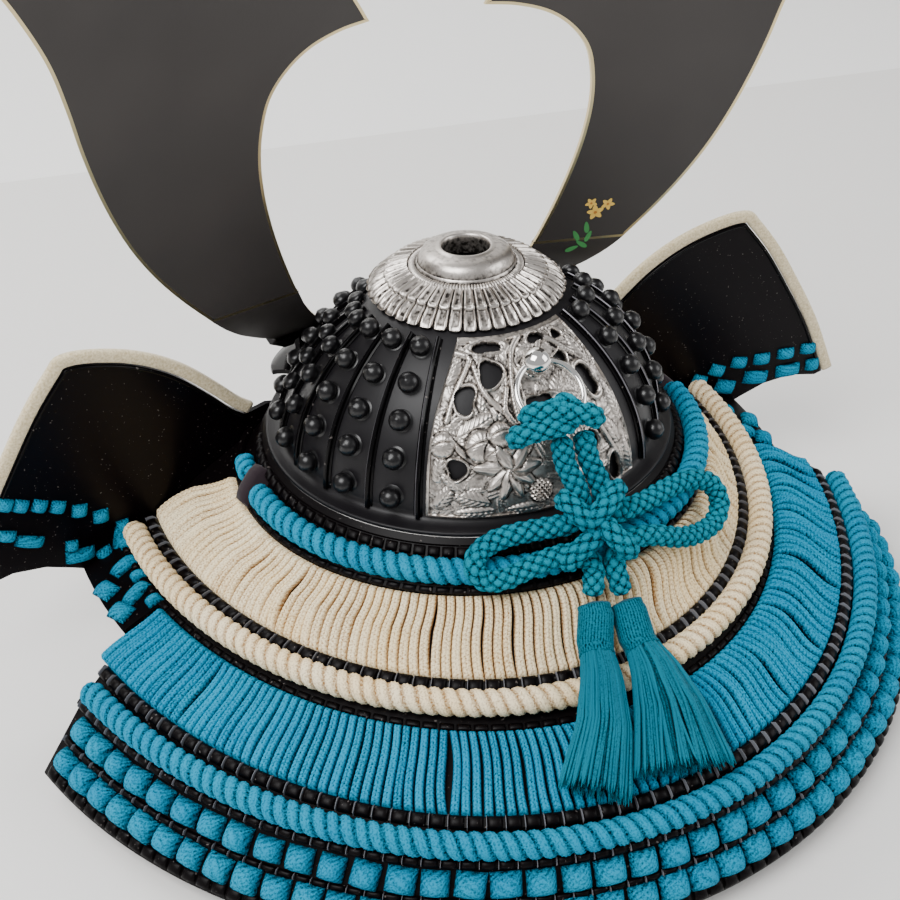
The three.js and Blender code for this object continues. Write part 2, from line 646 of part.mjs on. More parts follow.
// Holder: a curved bar over the visor with a socket at each end for a horn's foot
function hornHolder() {
  const foot = RIM_TOP + GAP + 0.2;
  const barFoot = RIM_TOP - 0.5 + GAP;
  const bar = loft(spread(HOLDER_HALF_ANGLE, 12).map((angle) => {
    const at = (r, z) => polar(180 + angle, HOLDER_RADIUS + r, z);
    const rise = HOLDER_HEIGHT * (0.62 + 0.38 * Math.abs(angle) / HOLDER_HALF_ANGLE);
    return [at(0, barFoot), at(0, foot + rise), at(HOLDER_THICK, foot + rise), at(HOLDER_THICK, barFoot)];
  }));
  const blocks = [-1, 1].map((side) => {
    const thick = HORN_THICK + 2 * (GAP + SOCKET_WALL);
    const { inner, outer } = HORN_STEM[1];
    const levels = [{ z: foot, in: inner - 6, out: outer - 4 }, { z: foot + HOLDER_HEIGHT, in: inner - 1.5, out: outer + 4 }];
    return loft(levels.map((level) => [[level.in, -1], [level.out, -1], [level.out, 1], [level.in, 1]]
      .map(([x, face]) => new THREE.Vector3(side * x, hornY(x, level.z) + (face * thick) / 2, level.z))));
  });
  return { bar, blocks };
}

function hornHolderSolid() {
  const { bar, blocks } = hornHolder();
  const slots = [-1, 1].map((side) => hornStem(side, HORN_THICK + 2.2 * GAP, GAP));
  return cut(join([bar, ...blocks]), slots);
}

// Cord tubes and tassels

function vectors(points) {
  return points.map((p) => new THREE.Vector3(...p));
}

function cordTube(points) {
  const path = new THREE.CatmullRomCurve3(vectors(points), false, 'centripetal');
  const section = new THREE.Shape();
  for (let i = 0; i < CORD_SIDES; i += 1) {
    const a = (Math.PI * 2 * i) / CORD_SIDES;
    const [x, y] = [(CORD_DIAMETER / 2) * Math.cos(a), (CORD_DIAMETER / 2) * Math.sin(a)];
    if (i === 0) section.moveTo(x, y);
    else section.lineTo(x, y);
  }
  return new THREE.ExtrudeGeometry(section, { steps: 22, bevelEnabled: false, extrudePath: path });
}

// A short bar of cord with round ends
function cordBar(from, to, radius) {
  const [a, b] = vectors([from, to]);
  const length = a.distanceTo(b);
  const bar = latheOf([[0, 0], [radius * 0.7, radius * 0.3], [radius, radius], [radius, length - radius],
    [radius * 0.7, length - radius * 0.3], [0, length]], 6);
  bar.applyQuaternion(new THREE.Quaternion().setFromUnitVectors(new THREE.Vector3(0, 0, 1), b.clone().sub(a).normalize()));
  return bar.translate(a.x, a.y, a.z);
}

// The hitch that holds both strands on the ring: a bar across the ring's lowest wire
function hitch() {
  const radius = CORD_DIAMETER / 2;
  return join([
    cordBar([11.6, 59.5, 30.6], [-2.4, 61.9, 31.9], radius),
    cordBar([1.6, 61.9, 31.9], [-11.8, 59.3, 30.8], radius),
  ]);
}

// The knot's two crossing turns, in front of the strands
function bowKnot() {
  const radius = CORD_DIAMETER / 2;
  return join([
    cordBar([3.9, 72.6, 15.6], [-12.9, 78.7, 1.0], radius),
    cordBar([-11.3, 72, 13.4], [6.1, 80.3, 2.0], radius),
  ]);
}

// Sections of a tassel: place, half width across, half depth, both growing towards the tips
const TASSEL_LEFT = [
  { x: -1.2, y: 80.9, z: -13.2, across: 0.8, deep: 0.8 },
  { x: -0.9, y: 83.4, z: -16, across: 1, deep: 1 },
  { x: 1.9, y: 88.6, z: -20.4, across: 1.04, deep: 1 },
  { x: 2.6, y: 90.6, z: -21.5, across: 0.98, deep: 0.92 },
  { x: 4.8, y: 98.2, z: -24.5, across: 1.25, deep: 1 },
  { x: 9.6, y: 109, z: -30, across: 1.6, deep: 1.05 },
  { x: 19.4, y: 122.6, z: -37.6, across: 2.1, deep: 1.15 },
];
const TASSEL_RIGHT = [
  { x: -10.3, y: 82.0, z: -14.9, across: 0.8, deep: 0.8 },
  { x: -10.6, y: 84.4, z: -17.4, across: 1, deep: 1 },
  { x: -9.9, y: 90.2, z: -21.7, across: 1.04, deep: 1 },
  { x: -10.0, y: 92.2, z: -22.7, across: 0.98, deep: 0.92 },
  { x: -10.2, y: 99.8, z: -25.4, across: 1.5, deep: 1 },
  { x: -9.4, y: 110, z: -30.2, across: 2.2, deep: 1.05 },
  { x: -6.0, y: 124.6, z: -38.2, across: 3.1, deep: 1.15 },
];

function tassel(table) {
  const centres = table.map(({ x, y, z }) => new THREE.Vector3(x, y, z));
  const rings = table.map(({ across, deep }, i) => {
    const before = centres[Math.max(0, i - 1)];
    const after = centres[Math.min(table.length - 1, i + 1)];
    const along = after.clone().sub(before).normalize();
    const side = new THREE.Vector3(1, 0, 0).addScaledVector(along, -along.x).normalize();
    const out = side.clone().cross(along);
    const lobed = i > 2 ? 0.08 : 0;
    return Array.from({ length: 2 * TASSEL_LOCKS }, (_, n) => {
      const a = (Math.PI * n) / TASSEL_LOCKS;
      const size = TASSEL_HEAD_RADIUS * (1 - lobed * (n % 2));
      return centres[i].clone().addScaledVector(side, size * across * Math.cos(a))
        .addScaledVector(out, size * deep * Math.sin(a));
    });
  });
  return loft(rings);
}

// Materials

function finish(color, roughness, metalness) {
  return new THREE.MeshStandardMaterial({ color, roughness, metalness });
}

const LACQUER = finish(0x17151a, 0.35, 0.1);
const MATTE_BLACK = finish(0x2b2b2e, 0.6, 0.2);
const SILVER = finish(0x9a9690, 0.38, 0.9);
const BRIGHT_SILVER = finish(0xd8d8d8, 0.15, 1);
const TEAL = finish(0x1290b2, 0.8, 0);
const CORD_TEAL = finish(0x0d7f8a, 0.7, 0);
const CREAM = finish(0xd8c096, 0.85, 0);
const LEATHER = finish(0xcdbb92, 0.8, 0);

// Assembly

const helmet = new THREE.Group();
helmet.name = 'kabuto';

function add(name, geometry, material) {
  const mesh = new THREE.Mesh(geometry, material);
  mesh.name = name;
  helmet.add(mesh);
}

add('bowl', bowl(), MATTE_BLACK);
add('crown_fitting', crownFitting(), SILVER);
add('pierced_plate', piercedPlate(), SILVER);
add('ring_stud', ringStud(), BRIGHT_SILVER);
add('cord_ring', cordRing(), BRIGHT_SILVER);
add('neck_plate_upper', neckPlateUpper(), LACQUER);
add('neck_plate_lower', neckPlateLower(), LACQUER);
add('rope_top', rope(0.56, () => 88), TEAL);
add('lacing_cream', lacing(0.985, 1.93, laceEnd), CREAM);
add('rope_cream', rope(2.16, ropeEnd), CREAM);
add('lacing_teal', lacing(2.37, 2.925, lowerFront), TEAL);
add('rope_teal', rope(3.175, () => LOWER_TIER_FRONT - 1), TEAL);
add('knots_upper', knotRow(3.53, 0), TEAL);
add('knots_lower', knotRow(3.8, 0.25), TEAL);
add('visor', visor(), LACQUER);
add('horn_holder', hornHolderSolid(), LACQUER);
add('cord_left', cordTube(CORD_LEFT), CORD_TEAL);
add('cord_right', cordTube(CORD_RIGHT), CORD_TEAL);
add('cord_hitch', hitch(), CORD_TEAL);
add('bow_knot', bowKnot(), CORD_TEAL);
add('tassel_left', tassel(TASSEL_LEFT), CORD_TEAL);
add('tassel_right', tassel(TASSEL_RIGHT), CORD_TEAL);
for (const [name, side] of [['left', 1], ['right', -1]]) {
  add(`wing_${name}`, wing(side), LACQUER);
  add(`wing_edging_${name}`, wingEdging(side), LEATHER);
  add(`horn_${name}`, horn(side), MATTE_BLACK);
}

export default helmet;
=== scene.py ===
# %% [markdown]
# # Ornamental samurai helmet, seen from behind
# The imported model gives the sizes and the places. This lesson dresses it: lacquered iron,
# cast silver, braided silk and leather. Lengths are written in millimetres and turned to metres
# when a mesh is made, as the makers of such helmets measure in millimetres too.

# %% Load the frame
import math

import bmesh
import bpy
import numpy as np
from mathutils import Matrix, Vector


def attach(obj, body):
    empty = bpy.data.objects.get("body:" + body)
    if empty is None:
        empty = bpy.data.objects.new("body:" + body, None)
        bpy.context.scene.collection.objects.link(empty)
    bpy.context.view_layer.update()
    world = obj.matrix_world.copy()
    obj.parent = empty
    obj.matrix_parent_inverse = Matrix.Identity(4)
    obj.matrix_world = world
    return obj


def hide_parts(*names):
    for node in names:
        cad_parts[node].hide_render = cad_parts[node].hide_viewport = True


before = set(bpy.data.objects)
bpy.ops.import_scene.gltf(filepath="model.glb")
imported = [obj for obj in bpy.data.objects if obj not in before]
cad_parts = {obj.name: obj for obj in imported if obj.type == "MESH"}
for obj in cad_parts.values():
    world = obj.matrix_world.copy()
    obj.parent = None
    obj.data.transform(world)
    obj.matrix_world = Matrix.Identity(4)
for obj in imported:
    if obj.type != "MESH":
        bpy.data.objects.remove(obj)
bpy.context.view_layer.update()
MM = 0.001

# %% [markdown]
# ## Camera
# The helmet stands with its back to us, turned a little, and we look down on it. A photograph's
# camera is a point, a direction and a lens, so three angles, a distance and a focal length set it.
# The focal length is in pixels for a picture 900 pixels wide, on a sensor 36 mm wide.

# %% Camera
PICTURE = 900
SENSOR = 36.0
FOCAL_PIXELS = 1414.6
AZIMUTH, ELEVATION, ROLL = (math.radians(a) for a in (157.58, 34.02, -1.22))
DISTANCE = 424.8
TARGET = Vector((0, 0, 20))
AIM_SHIFT = (17.1, -92.0)

back = Vector((math.sin(AZIMUTH) * math.cos(ELEVATION), -math.cos(AZIMUTH) * math.cos(ELEVATION),
               math.sin(ELEVATION)))
level = Vector((math.cos(AZIMUTH), math.sin(AZIMUTH), 0))
rise = back.cross(level)
right = level * math.cos(ROLL) + rise * math.sin(ROLL)
up = rise * math.cos(ROLL) - level * math.sin(ROLL)
eye = TARGET + back * DISTANCE - right * (AIM_SHIFT[0] * DISTANCE / FOCAL_PIXELS) \
    + up * (AIM_SHIFT[1] * DISTANCE / FOCAL_PIXELS)

lens = bpy.data.cameras.new("camera")
lens.sensor_width = SENSOR
lens.lens = FOCAL_PIXELS * SENSOR / PICTURE
lens.clip_start = 0.01
lens.clip_end = 20
camera = bpy.data.objects.new("camera", lens)
bpy.context.scene.collection.objects.link(camera)
turn = Matrix((right, up, back)).transposed().to_4x4()
turn.translation = eye * MM
camera.matrix_world = turn
bpy.context.scene.camera = camera
print("camera at, mm:", [round(v, 1) for v in eye], "lens", round(lens.lens, 2))

# %% [markdown]
# ## Meshes
# Every piece is a skin over a grid of points, so two helpers make them all. `piece` turns lists of
# points and faces into an object that rides on the one body of the helmet. `grid_faces` joins a
# grid's neighbours into quads. A piece may carry a number on each point, its height in the relief:
# 0 in a groove and 1 on a crest. The silver uses it for patina, dark in grooves and bright on
# crests. The silk uses it for painted shade, darker in grooves and between threads.

# %% Mesh helpers
def piece(name, points, faces, materials, replaces=(), height=None, sharp=40, pick=None, slot=None):
    mesh = bpy.data.meshes.new(name)
    mesh.from_pydata((np.asarray(points, dtype=float) * MM).tolist(), [], faces)
    if height is not None:
        mesh.attributes.new("height", "FLOAT", "POINT").data.foreach_set(
            "value", np.asarray(height, dtype=np.float32))
    shape = bmesh.new()
    shape.from_mesh(mesh)
    bmesh.ops.recalc_face_normals(shape, faces=shape.faces)
    shape.to_mesh(mesh)
    shape.free()
    mesh.shade_smooth()
    mesh.set_sharp_from_angle(angle=math.radians(sharp))
    for material in materials:
        mesh.materials.append(material)
    if pick is not None:
        mesh.polygons.foreach_set("material_index", pick)
    thing = bpy.data.objects.new(name, mesh)
    bpy.context.scene.collection.objects.link(thing)
    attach(thing, "root")
    if replaces:
        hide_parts(*replaces)
    print(f"{name}: {len(mesh.polygons)} faces")
    return thing


def grid_faces(rows, columns, wrap_rows=False, wrap_columns=False, first=0):
    faces = []
    for i in range(rows if wrap_rows else rows - 1):
        for j in range(columns if wrap_columns else columns - 1):
            a, b = i, (i + 1) % rows
            c, d = j, (j + 1) % columns
            faces.append([first + a * columns + c, first + a * columns + d,
                          first + b * columns + d, first + b * columns + c])
    return faces


class Heap:
    """Points, faces and heights of many small shapes that end in one mesh."""

    def __init__(self):
        self.points, self.faces, self.height, self.count = [], [], [], 0

    def add(self, points, faces, height=None):
        points = np.asarray(points, dtype=float).reshape(-1, 3)
        self.points.append(points)
        self.faces += [[v + self.count for v in face] for face in faces]
        height = np.ones(len(points)) if height is None else np.asarray(height, dtype=float).ravel()
        self.height.append(height)
        self.count += len(points)

    def grid(self, points, height=None, wrap_rows=False, wrap_columns=False, caps=False):
        rows, columns = points.shape[:2]
        faces = grid_faces(rows, columns, wrap_rows, wrap_columns)
        if caps:
            faces += [list(range(columns))[::-1], [(rows - 1) * columns + j for j in range(columns)]]
        self.add(points, faces, height)

    def piece(self, name, materials, **settings):
        return piece(name, np.concatenate(self.points), self.faces, materials,
                     height=np.concatenate(self.height), **settings)


def unit(v):
    v = np.asarray(v, dtype=float)
    return v / np.maximum(np.linalg.norm(v, axis=-1, keepdims=True), 1e-9)


# %% [markdown]
# ## Materials
# `add` puts one node in a material's tree with its settings and links. `finish` starts each
# material with a Principled shader. Colours are written as the sRGB hex values a picture editor
# shows, and `linear` turns them into the linear light that the shader works with.


def linear(hex_code, alpha=1.0):
    parts = [int(hex_code[i:i + 2], 16) / 255 for i in (1, 3, 5)]
    return [c / 12.92 if c <= 0.04045 else ((c + 0.055) / 1.055) ** 2.4 for c in parts] + [alpha]


def add(tree, kind, links=None, **settings):
    node = tree.nodes.new("ShaderNode" + kind)
    for key, value in settings.items():
        name = key.replace("_", " ")
        if name in node.inputs:
            node.inputs[name].default_value = value
        else:
            setattr(node, key, value)
    for socket, source in (links or {}).items():
        tree.links.new(source, node.inputs[socket])
    return node


def finish(name, base, roughness, metallic=0.0, **settings):
    material = bpy.data.materials.new(name)
    material.use_nodes = True
    tree = material.node_tree
    shader = tree.nodes["Principled BSDF"]
    shader.inputs["Base Color"].default_value = linear(base)
    shader.inputs["Roughness"].default_value = roughness
    shader.inputs["Metallic"].default_value = metallic
    for key, value in settings.items():
        shader.inputs[key.replace("_", " ")].default_value = value
    return material, tree, shader


def mixed(tree, factor, low, high):
    """A colour between two hex values, led by a factor socket."""
    ramp = add(tree, "ValToRGB", {"Fac": factor})
    ramp.color_ramp.elements[0].color = linear(low)
    ramp.color_ramp.elements[1].color = linear(high)
    return ramp


def spots(tree, spacing_mm, detail=2.0, stretch=(1, 1, 1)):
    """Noise whose spots are about a spacing apart, in real millimetres."""
    place = add(tree, "TexCoord")
    scaled = add(tree, "Mapping", {"Vector": place.outputs["Object"]}, Scale=stretch)
    return add(tree, "TexNoise", {"Vector": scaled.outputs["Vector"]}, Scale=1 / (spacing_mm * MM),
               Detail=detail)


def bumped(tree, shader, source, depth_mm, strength=1.0):
    bump = add(tree, "Bump", {"Height": source}, Distance=depth_mm * MM, Strength=strength)
    tree.links.new(bump.outputs["Normal"], shader.inputs["Normal"])
    return bump


def add_map(tree, source, low, high, start=0.0, end=1.0):
    node = add(tree, "MapRange", {"Value": source})
    for socket, value in (("From Min", start), ("From Max", end), ("To Min", low), ("To Max", high)):
        node.inputs[socket].default_value = value
    return node.outputs["Result"]


def relief_level(tree, noise, spread):
    """The height number on the points, made uneven by noise."""
    relief = add(tree, "Attribute", attribute_name="height")
    uneven = add_map(tree, noise.outputs["Fac"], -spread, spread, 0.3, 0.7)
    return add(tree, "Math", {0: relief.outputs["Fac"], 1: uneven}, operation="ADD")


# %% [markdown]
# ### Black paint and lacquer
# The bowl's plates are iron with a sprayed satin black paint: dark grey where light falls, with a
# fine orange peel. Ribs, scale plates, visor and wings are brushed with black lacquer, glossiest on
# the ribs and the visor and duller on the scale plates and wings. It mirrors the studio softly and
# catches dust, which shows as small pale specks. The rivets' paint is glossier than the plates'. A
# pale line along one upper edge of each rib is a painted highlight.

# %% Black finishes
def satin_paint():
    material, tree, shader = finish("satin black paint", "#0e0c0f", 0.42, IOR=1.5, Specular_IOR_Level=0.3)
    haze = spots(tree, 9, 3)
    tree.links.new(add_map(tree, haze.outputs["Fac"], 0.36, 0.5), shader.inputs["Roughness"])
    peel = spots(tree, 0.45, 2)
    bumped(tree, shader, peel.outputs["Fac"], 0.03, 0.6)
    return material


def dusty_lacquer(name, base, roughness, dust_mm):
    material, tree, shader = finish(name, base, roughness, IOR=1.5, Specular_IOR_Level=0.1)
    dust = spots(tree, dust_mm, 0)
    speck = add_map(tree, dust.outputs["Fac"], 0.0, 0.5, 0.79, 0.84)
    colour = add(tree, "MixRGB", {"Fac": speck}, Color1=linear(base), Color2=linear("#77706c"))
    tree.links.new(colour.outputs["Color"], shader.inputs["Base Color"])
    tree.links.new(add_map(tree, speck, roughness, 0.6), shader.inputs["Roughness"])
    waves = spots(tree, 14, 1)
    bumped(tree, shader, waves.outputs["Fac"], 0.05, 0.5)
    return material


BOWL_PAINT = satin_paint()
RIB_LACQUER = dusty_lacquer("rib lacquer", "#060506", 0.16, 1.1)
SCALE_LACQUER = dusty_lacquer("scale lacquer", "#060304", 0.4, 0.9)
WING_LACQUER = dusty_lacquer("wing lacquer", "#040103", 0.3, 0.6)
STUD_PAINT = finish("stud paint", "#0c0b0d", 0.3, IOR=1.5, Specular_IOR_Level=0.4)[0]
# pale paint on one upper edge of each rib: a painted highlight
RIB_HIGHLIGHT_PAINT = finish("painted rib highlight", "#77757a", 0.35, 0.6)[0]


# %% [markdown]
# ### Cast silver
# The crown fitting and the back plate are cast in a white metal and patinated: grooves stay nearly
# black and the crests are rubbed bright. The height number on each point leads from one to the
# other, so the patina follows the relief wherever the casting is bent.

# %% Silver finishes
def cast_silver(name, groove, crest, roughness):
    material, tree, shader = finish(name, crest, roughness, 1.0)
    level = relief_level(tree, spots(tree, 1.4, 4), 0.28)
    ramp = mixed(tree, level.outputs["Value"], groove, crest)
    ramp.color_ramp.elements[0].position = 0.08
    ramp.color_ramp.elements[1].position = 0.62
    tree.links.new(ramp.outputs["Color"], shader.inputs["Base Color"])
    tree.links.new(add_map(tree, level.outputs["Value"], 0.55, roughness, 0.1, 0.8),
                   shader.inputs["Roughness"])
    pits = spots(tree, 0.5, 3)
    bumped(tree, shader, pits.outputs["Fac"], 0.06, 0.6)
    return material


CAST_SILVER = cast_silver("patinated cast silver", "#2b2724", "#c2bbb4", 0.3)
BRIGHT_SILVER = finish("polished silver wire", "#eceae6", 0.09, 1.0)[0]
# the horns' edge and the bead on their holder
EDGE_GOLD = finish("pale gold edge", "#d9c79a", 0.3, 1.0)[0]
EDGE_SILVER = finish("silver edge", "#c8c6c2", 0.2, 1.0)[0]


# %% [markdown]
# ### Silk, thread and suede
# Lacing braid, rope and cord are dyed silk: a faint sheen, painted shade in the grooves between the
# threads, and fine fibres. One thread is about 0.3 mm, less than a pixel, so the fibres are drawn
# at 0.5 mm. The wing edging is undyed suede with a short nap, and the tab at the rope's end is
# dark purple suede.

# %% Soft finishes
FIBRE_MM = 0.5


# groove is a darker colour painted in as shade where the height number is low, in grooves and between
# threads; crest is the silk's colour on the crests
def dyed_thread(name, groove, crest, patch, sheen=0.02):
    material, tree, shader = finish(name, crest, 0.78, IOR=1.45, Sheen_Weight=sheen, Sheen_Roughness=0.45,
                                    Specular_IOR_Level=0.05)
    fibre = spots(tree, FIBRE_MM, 2)
    level = relief_level(tree, fibre, 0.3)
    ramp = mixed(tree, level.outputs["Value"], groove, crest)
    ramp.color_ramp.elements[0].position = 0.12
    ramp.color_ramp.elements[1].position = 0.85
    dye = spots(tree, 16, 1)
    toned = add(tree, "MixRGB", {"Color1": ramp.outputs["Color"]}, blend_type="MULTIPLY",
                Color2=linear(patch))
    tree.links.new(add_map(tree, dye.outputs["Fac"], 0.0, 0.6, 0.35, 0.7), toned.inputs["Fac"])
    tree.links.new(toned.outputs["Color"], shader.inputs["Base Color"])
    bumped(tree, shader, fibre.outputs["Fac"], 0.12, 0.7)
    return material


# each silk's first colour is its painted shade in the grooves, the second its crest colour, the third its
# patches of uneven dye
TEAL_BRAID = dyed_thread("teal silk braid", "#001420", "#0292b8", "#c8e6f2")
TEAL_ROPE = dyed_thread("teal silk rope", "#001621", "#028fb2", "#c8e6f2")
CREAM_BRAID = dyed_thread("cream silk braid", "#9a6f3e", "#fff0ca", "#fdf2dc")
CREAM_ROPE = dyed_thread("cream silk rope", "#8e6a40", "#fcebc6", "#fdf2dc")
CORD_SILK = dyed_thread("teal round cord", "#00141a", "#048297", "#b8e0e6")
TASSEL_SILK = dyed_thread("teal tassel thread", "#001219", "#056f84", "#c0e0e6", sheen=0.06)
PALE_THREAD = finish("pale thread", "#77787e", 0.6)[0]
TAB_SUEDE = finish("purple suede tab", "#1c0d16", 0.95, Sheen_Weight=0.1)[0]


def suede():
    material, tree, shader = finish("undyed suede", "#d5c5a0", 0.92, Sheen_Weight=0.4, Sheen_Roughness=0.6,
                                    Specular_IOR_Level=0.2)
    nap = spots(tree, 0.7, 4)
    ramp = mixed(tree, nap.outputs["Fac"], "#b9a67e", "#e4d6b4")
    ramp.color_ramp.elements[0].position = 0.3
    ramp.color_ramp.elements[1].position = 0.7
    tree.links.new(ramp.outputs["Color"], shader.inputs["Base Color"])
    bumped(tree, shader, nap.outputs["Fac"], 0.25, 0.8)
    return material


SUEDE = suede()

# %% [markdown]
# ### Horns and their painted sprig
# The horns are flat plates with a matte, slightly warm dark grey paint behind and a pale gold edge.
# A small sprig with yellow blossoms is painted on the back of one of them.

# %% Horn finishes
def horn_paint():
    material, tree, shader = finish("matte horn paint", "#353230", 0.5, IOR=1.45, Specular_IOR_Level=0.4)
    cloud = spots(tree, 40, 2)
    ramp = mixed(tree, cloud.outputs["Fac"], "#2b2827", "#403c3a")
    tree.links.new(ramp.outputs["Color"], shader.inputs["Base Color"])
    grain = spots(tree, 0.6, 2)
    bumped(tree, shader, grain.outputs["Fac"], 0.03, 0.5)
    return material


HORN_PAINT = horn_paint()
PETAL_PAINT = finish("yellow petal paint", "#e8c05a", 0.5)[0]
HEART_PAINT = finish("orange heart paint", "#b8742a", 0.5)[0]
LEAF_PAINT = finish("green leaf paint", "#3f8a4a", 0.5)[0]

# %% [markdown]
# ## The bow's cord
# The bow is tied from two strands of 6 mm round silk braid that leave the hitch on the ring, cross
# in the knot, turn back in a loop each and end in a tassel. A round braid's threads run in two
# families of spirals that pass over and under each other, so its surface is a field of small
# lozenges. The route goes through the same points as the model's, on a centripetal Catmull-Rom
# curve, which doesn't overshoot in tight turns.

# %% Cord routes
CORD_DIAMETER = 6.0
CORD_LEFT = [
    (-0.6, 60.4, 27.7), (-1.1, 60.8, 24), (-1.7, 61.7, 19.6), (-3.4, 64.8, 14), (-3.6, 67.6, 8.9),
    (0.4, 69.3, 5.8), (5, 68.6, 5.4), (11, 67.6, 5.2), (17, 66.6, 4.8), (22.5, 66.2, 3.6),
    (26.8, 67, 1.5), (28.3, 69.2, -1.4), (26.2, 71.6, -3.8), (21.5, 73, -3.8), (16, 73.4, -2.4),
    (10.5, 73.6, -1), (5, 73.9, -0.4), (0.5, 74.8, -0.8), (-2.3, 76, -2.8), (-3, 77.3, -5.6),
    (-2.2, 78.9, -8.8), (-1.4, 80.5, -12),
]
CORD_RIGHT = [
    (-7.6, 59.9, 27.3), (-8, 60.7, 23.6), (-8.7, 61.9, 19.2), (-10.4, 64.8, 13.4), (-11.2, 67.8, 8.4),
    (-14.2, 69, 4.8), (-18.6, 68, 4.2), (-25.4, 66, 3.4), (-34.4, 62.4, 2.6), (-44, 59.2, 0.6),
    (-51.4, 58.2, -4), (-53.4, 60.4, -9.5), (-49.7, 64.2, -12.6), (-40.8, 68.9, -11.2),
    (-32, 71.9, -7.6), (-24.7, 73.2, -3.6), (-18, 73.9, -1.6), (-13.4, 74.6, -1.4), (-10.4, 75.8, -3.1),
    (-9.5, 77.4, -6.2), (-9.7, 79.3, -9.8), (-10.3, 81.1, -13.8),
]


def smooth_route(points, step):
    """Points a step apart on a centripetal Catmull-Rom curve."""
    p = np.asarray(points, dtype=float)
    p = np.vstack([2 * p[0] - p[1], p, 2 * p[-1] - p[-2]])
    dense = []
    for a, b, c, d in zip(p, p[1:], p[2:], p[3:]):
        t0, t1, t2 = (max(np.linalg.norm(v) ** 0.5, 1e-4) for v in (b - a, c - b, d - c))
        m1 = ((b - a) / t0 - (c - a) / (t0 + t1) + (c - b) / t1) * t1
        m2 = ((c - b) / t1 - (d - b) / (t1 + t2) + (d - c) / t2) * t1
        for u in np.linspace(0, 1, 24, endpoint=False):
            dense.append(b + m1 * u + (3 * (c - b) - 2 * m1 - m2) * u ** 2 + (2 * (b - c) + m1 + m2) * u ** 3)
    dense.append(p[-2])
    return even(dense, step)


def run_along(line):
    """The length run so far at each point of a line."""
    return np.concatenate([[0], np.cumsum(np.linalg.norm(np.diff(line, axis=0), axis=1))])


def even(points, step):
    """The same line with its points an even step apart."""
    points = np.asarray(points, dtype=float)
    along = run_along(points)
    count = max(2, int(round(along[-1] / step)) + 1)
    at = np.linspace(0, along[-1], count)
    return np.stack([np.interp(at, along, points[:, i]) for i in range(3)], axis=1)


def frames_along(line, first=(0, 0, 1)):
    """A side and an outward direction at each point that don't twist along the line."""
    along = unit(np.gradient(line, axis=0))
    side = np.array(first, dtype=float)
    sides = []
    for direction in along:
        side = unit(side - direction * side.dot(direction))
        sides.append(side)
    sides = np.array(sides)
    return along, sides, np.cross(along, sides)


def braid_height(turn, along, strands, pitch):
    """Height of a round braid's surface: 1 on a thread's crest, 0 where threads dive under."""
    a = strands * turn + along / pitch
    b = strands * turn - along / pitch
    over = (np.floor(a) + np.floor(b)) % 2 == 0
    across = np.where(over, a % 1, b % 1)
    length = np.where(over, b % 1, a % 1)
    return np.sin(np.pi * across) ** 0.6 * (0.3 + 0.7 * np.sin(np.pi * length) ** 0.6)


def tube(line, radius, relief, depth, around=54, taper=2.0, first=(0, 0, 1)):
    """A closed tube over a line. relief gives 0 to 1 from the turn and the length run so far."""
    along, side, out = frames_along(line, first)
    run = run_along(line)
    turn = np.arange(around) / around
    height = relief(turn[None, :], run[:, None])
    ends = np.minimum(1, np.minimum(run, run[-1] - run)[:, None] / taper)
    ends = np.sqrt(np.clip(1 - (1 - ends) ** 2, 0.03, 1))
    size = (radius - depth * (1 - height)) * ends
    angle = 2 * np.pi * turn[None, :, None]
    spoke = np.cos(angle) * side[:, None, :] + np.sin(angle) * out[:, None, :]
    return line[:, None, :] + size[..., None] * spoke, height


def plain_tube(line, radius, around):
    return tube(line, radius, lambda turn, run: 1 + 0 * turn + 0 * run, 0.0, around=around, taper=0.5)


def tubes_piece(name, tubes, materials, **settings):
    """One mesh of closed tubes."""
    heap = Heap()
    for points, height in tubes:
        heap.grid(points, height, wrap_columns=True, caps=True)
    return heap.piece(name, materials, **settings)


CORD_RADIUS = CORD_DIAMETER / 2 + 0.15
CORD_STEP, CORD_GROOVE = 0.3, 0.8
CORD_STRANDS, CORD_PITCH = 5, 3.5


# the height gives both the braid's relief and its painted shade where threads dive under
def cord_relief(turn, run):
    return braid_height(turn, run, CORD_STRANDS, CORD_PITCH)


def braid_piece(name, lines, node):
    """Lengths of the cord's braid over their lines."""
    return tubes_piece(name, [tube(line, CORD_RADIUS, cord_relief, CORD_GROOVE) for line in lines],
                       [CORD_SILK], replaces=[node], sharp=180)


CORDS = {}
for which, route in (("left", CORD_LEFT), ("right", CORD_RIGHT)):
    line = smooth_route(route, CORD_STEP)
    CORDS[which] = braid_piece(f"bow_cord_{which}", [line], f"cord_{which}"), line

# %% [markdown]
# ## Hitch and knot
# The hitch is the cord's middle laid across the ring's wire, with both strands drawn back through
# the ring. The knot below it shows four short lengths that cross. All are tubes of the same braid,
# bent over what they hold.

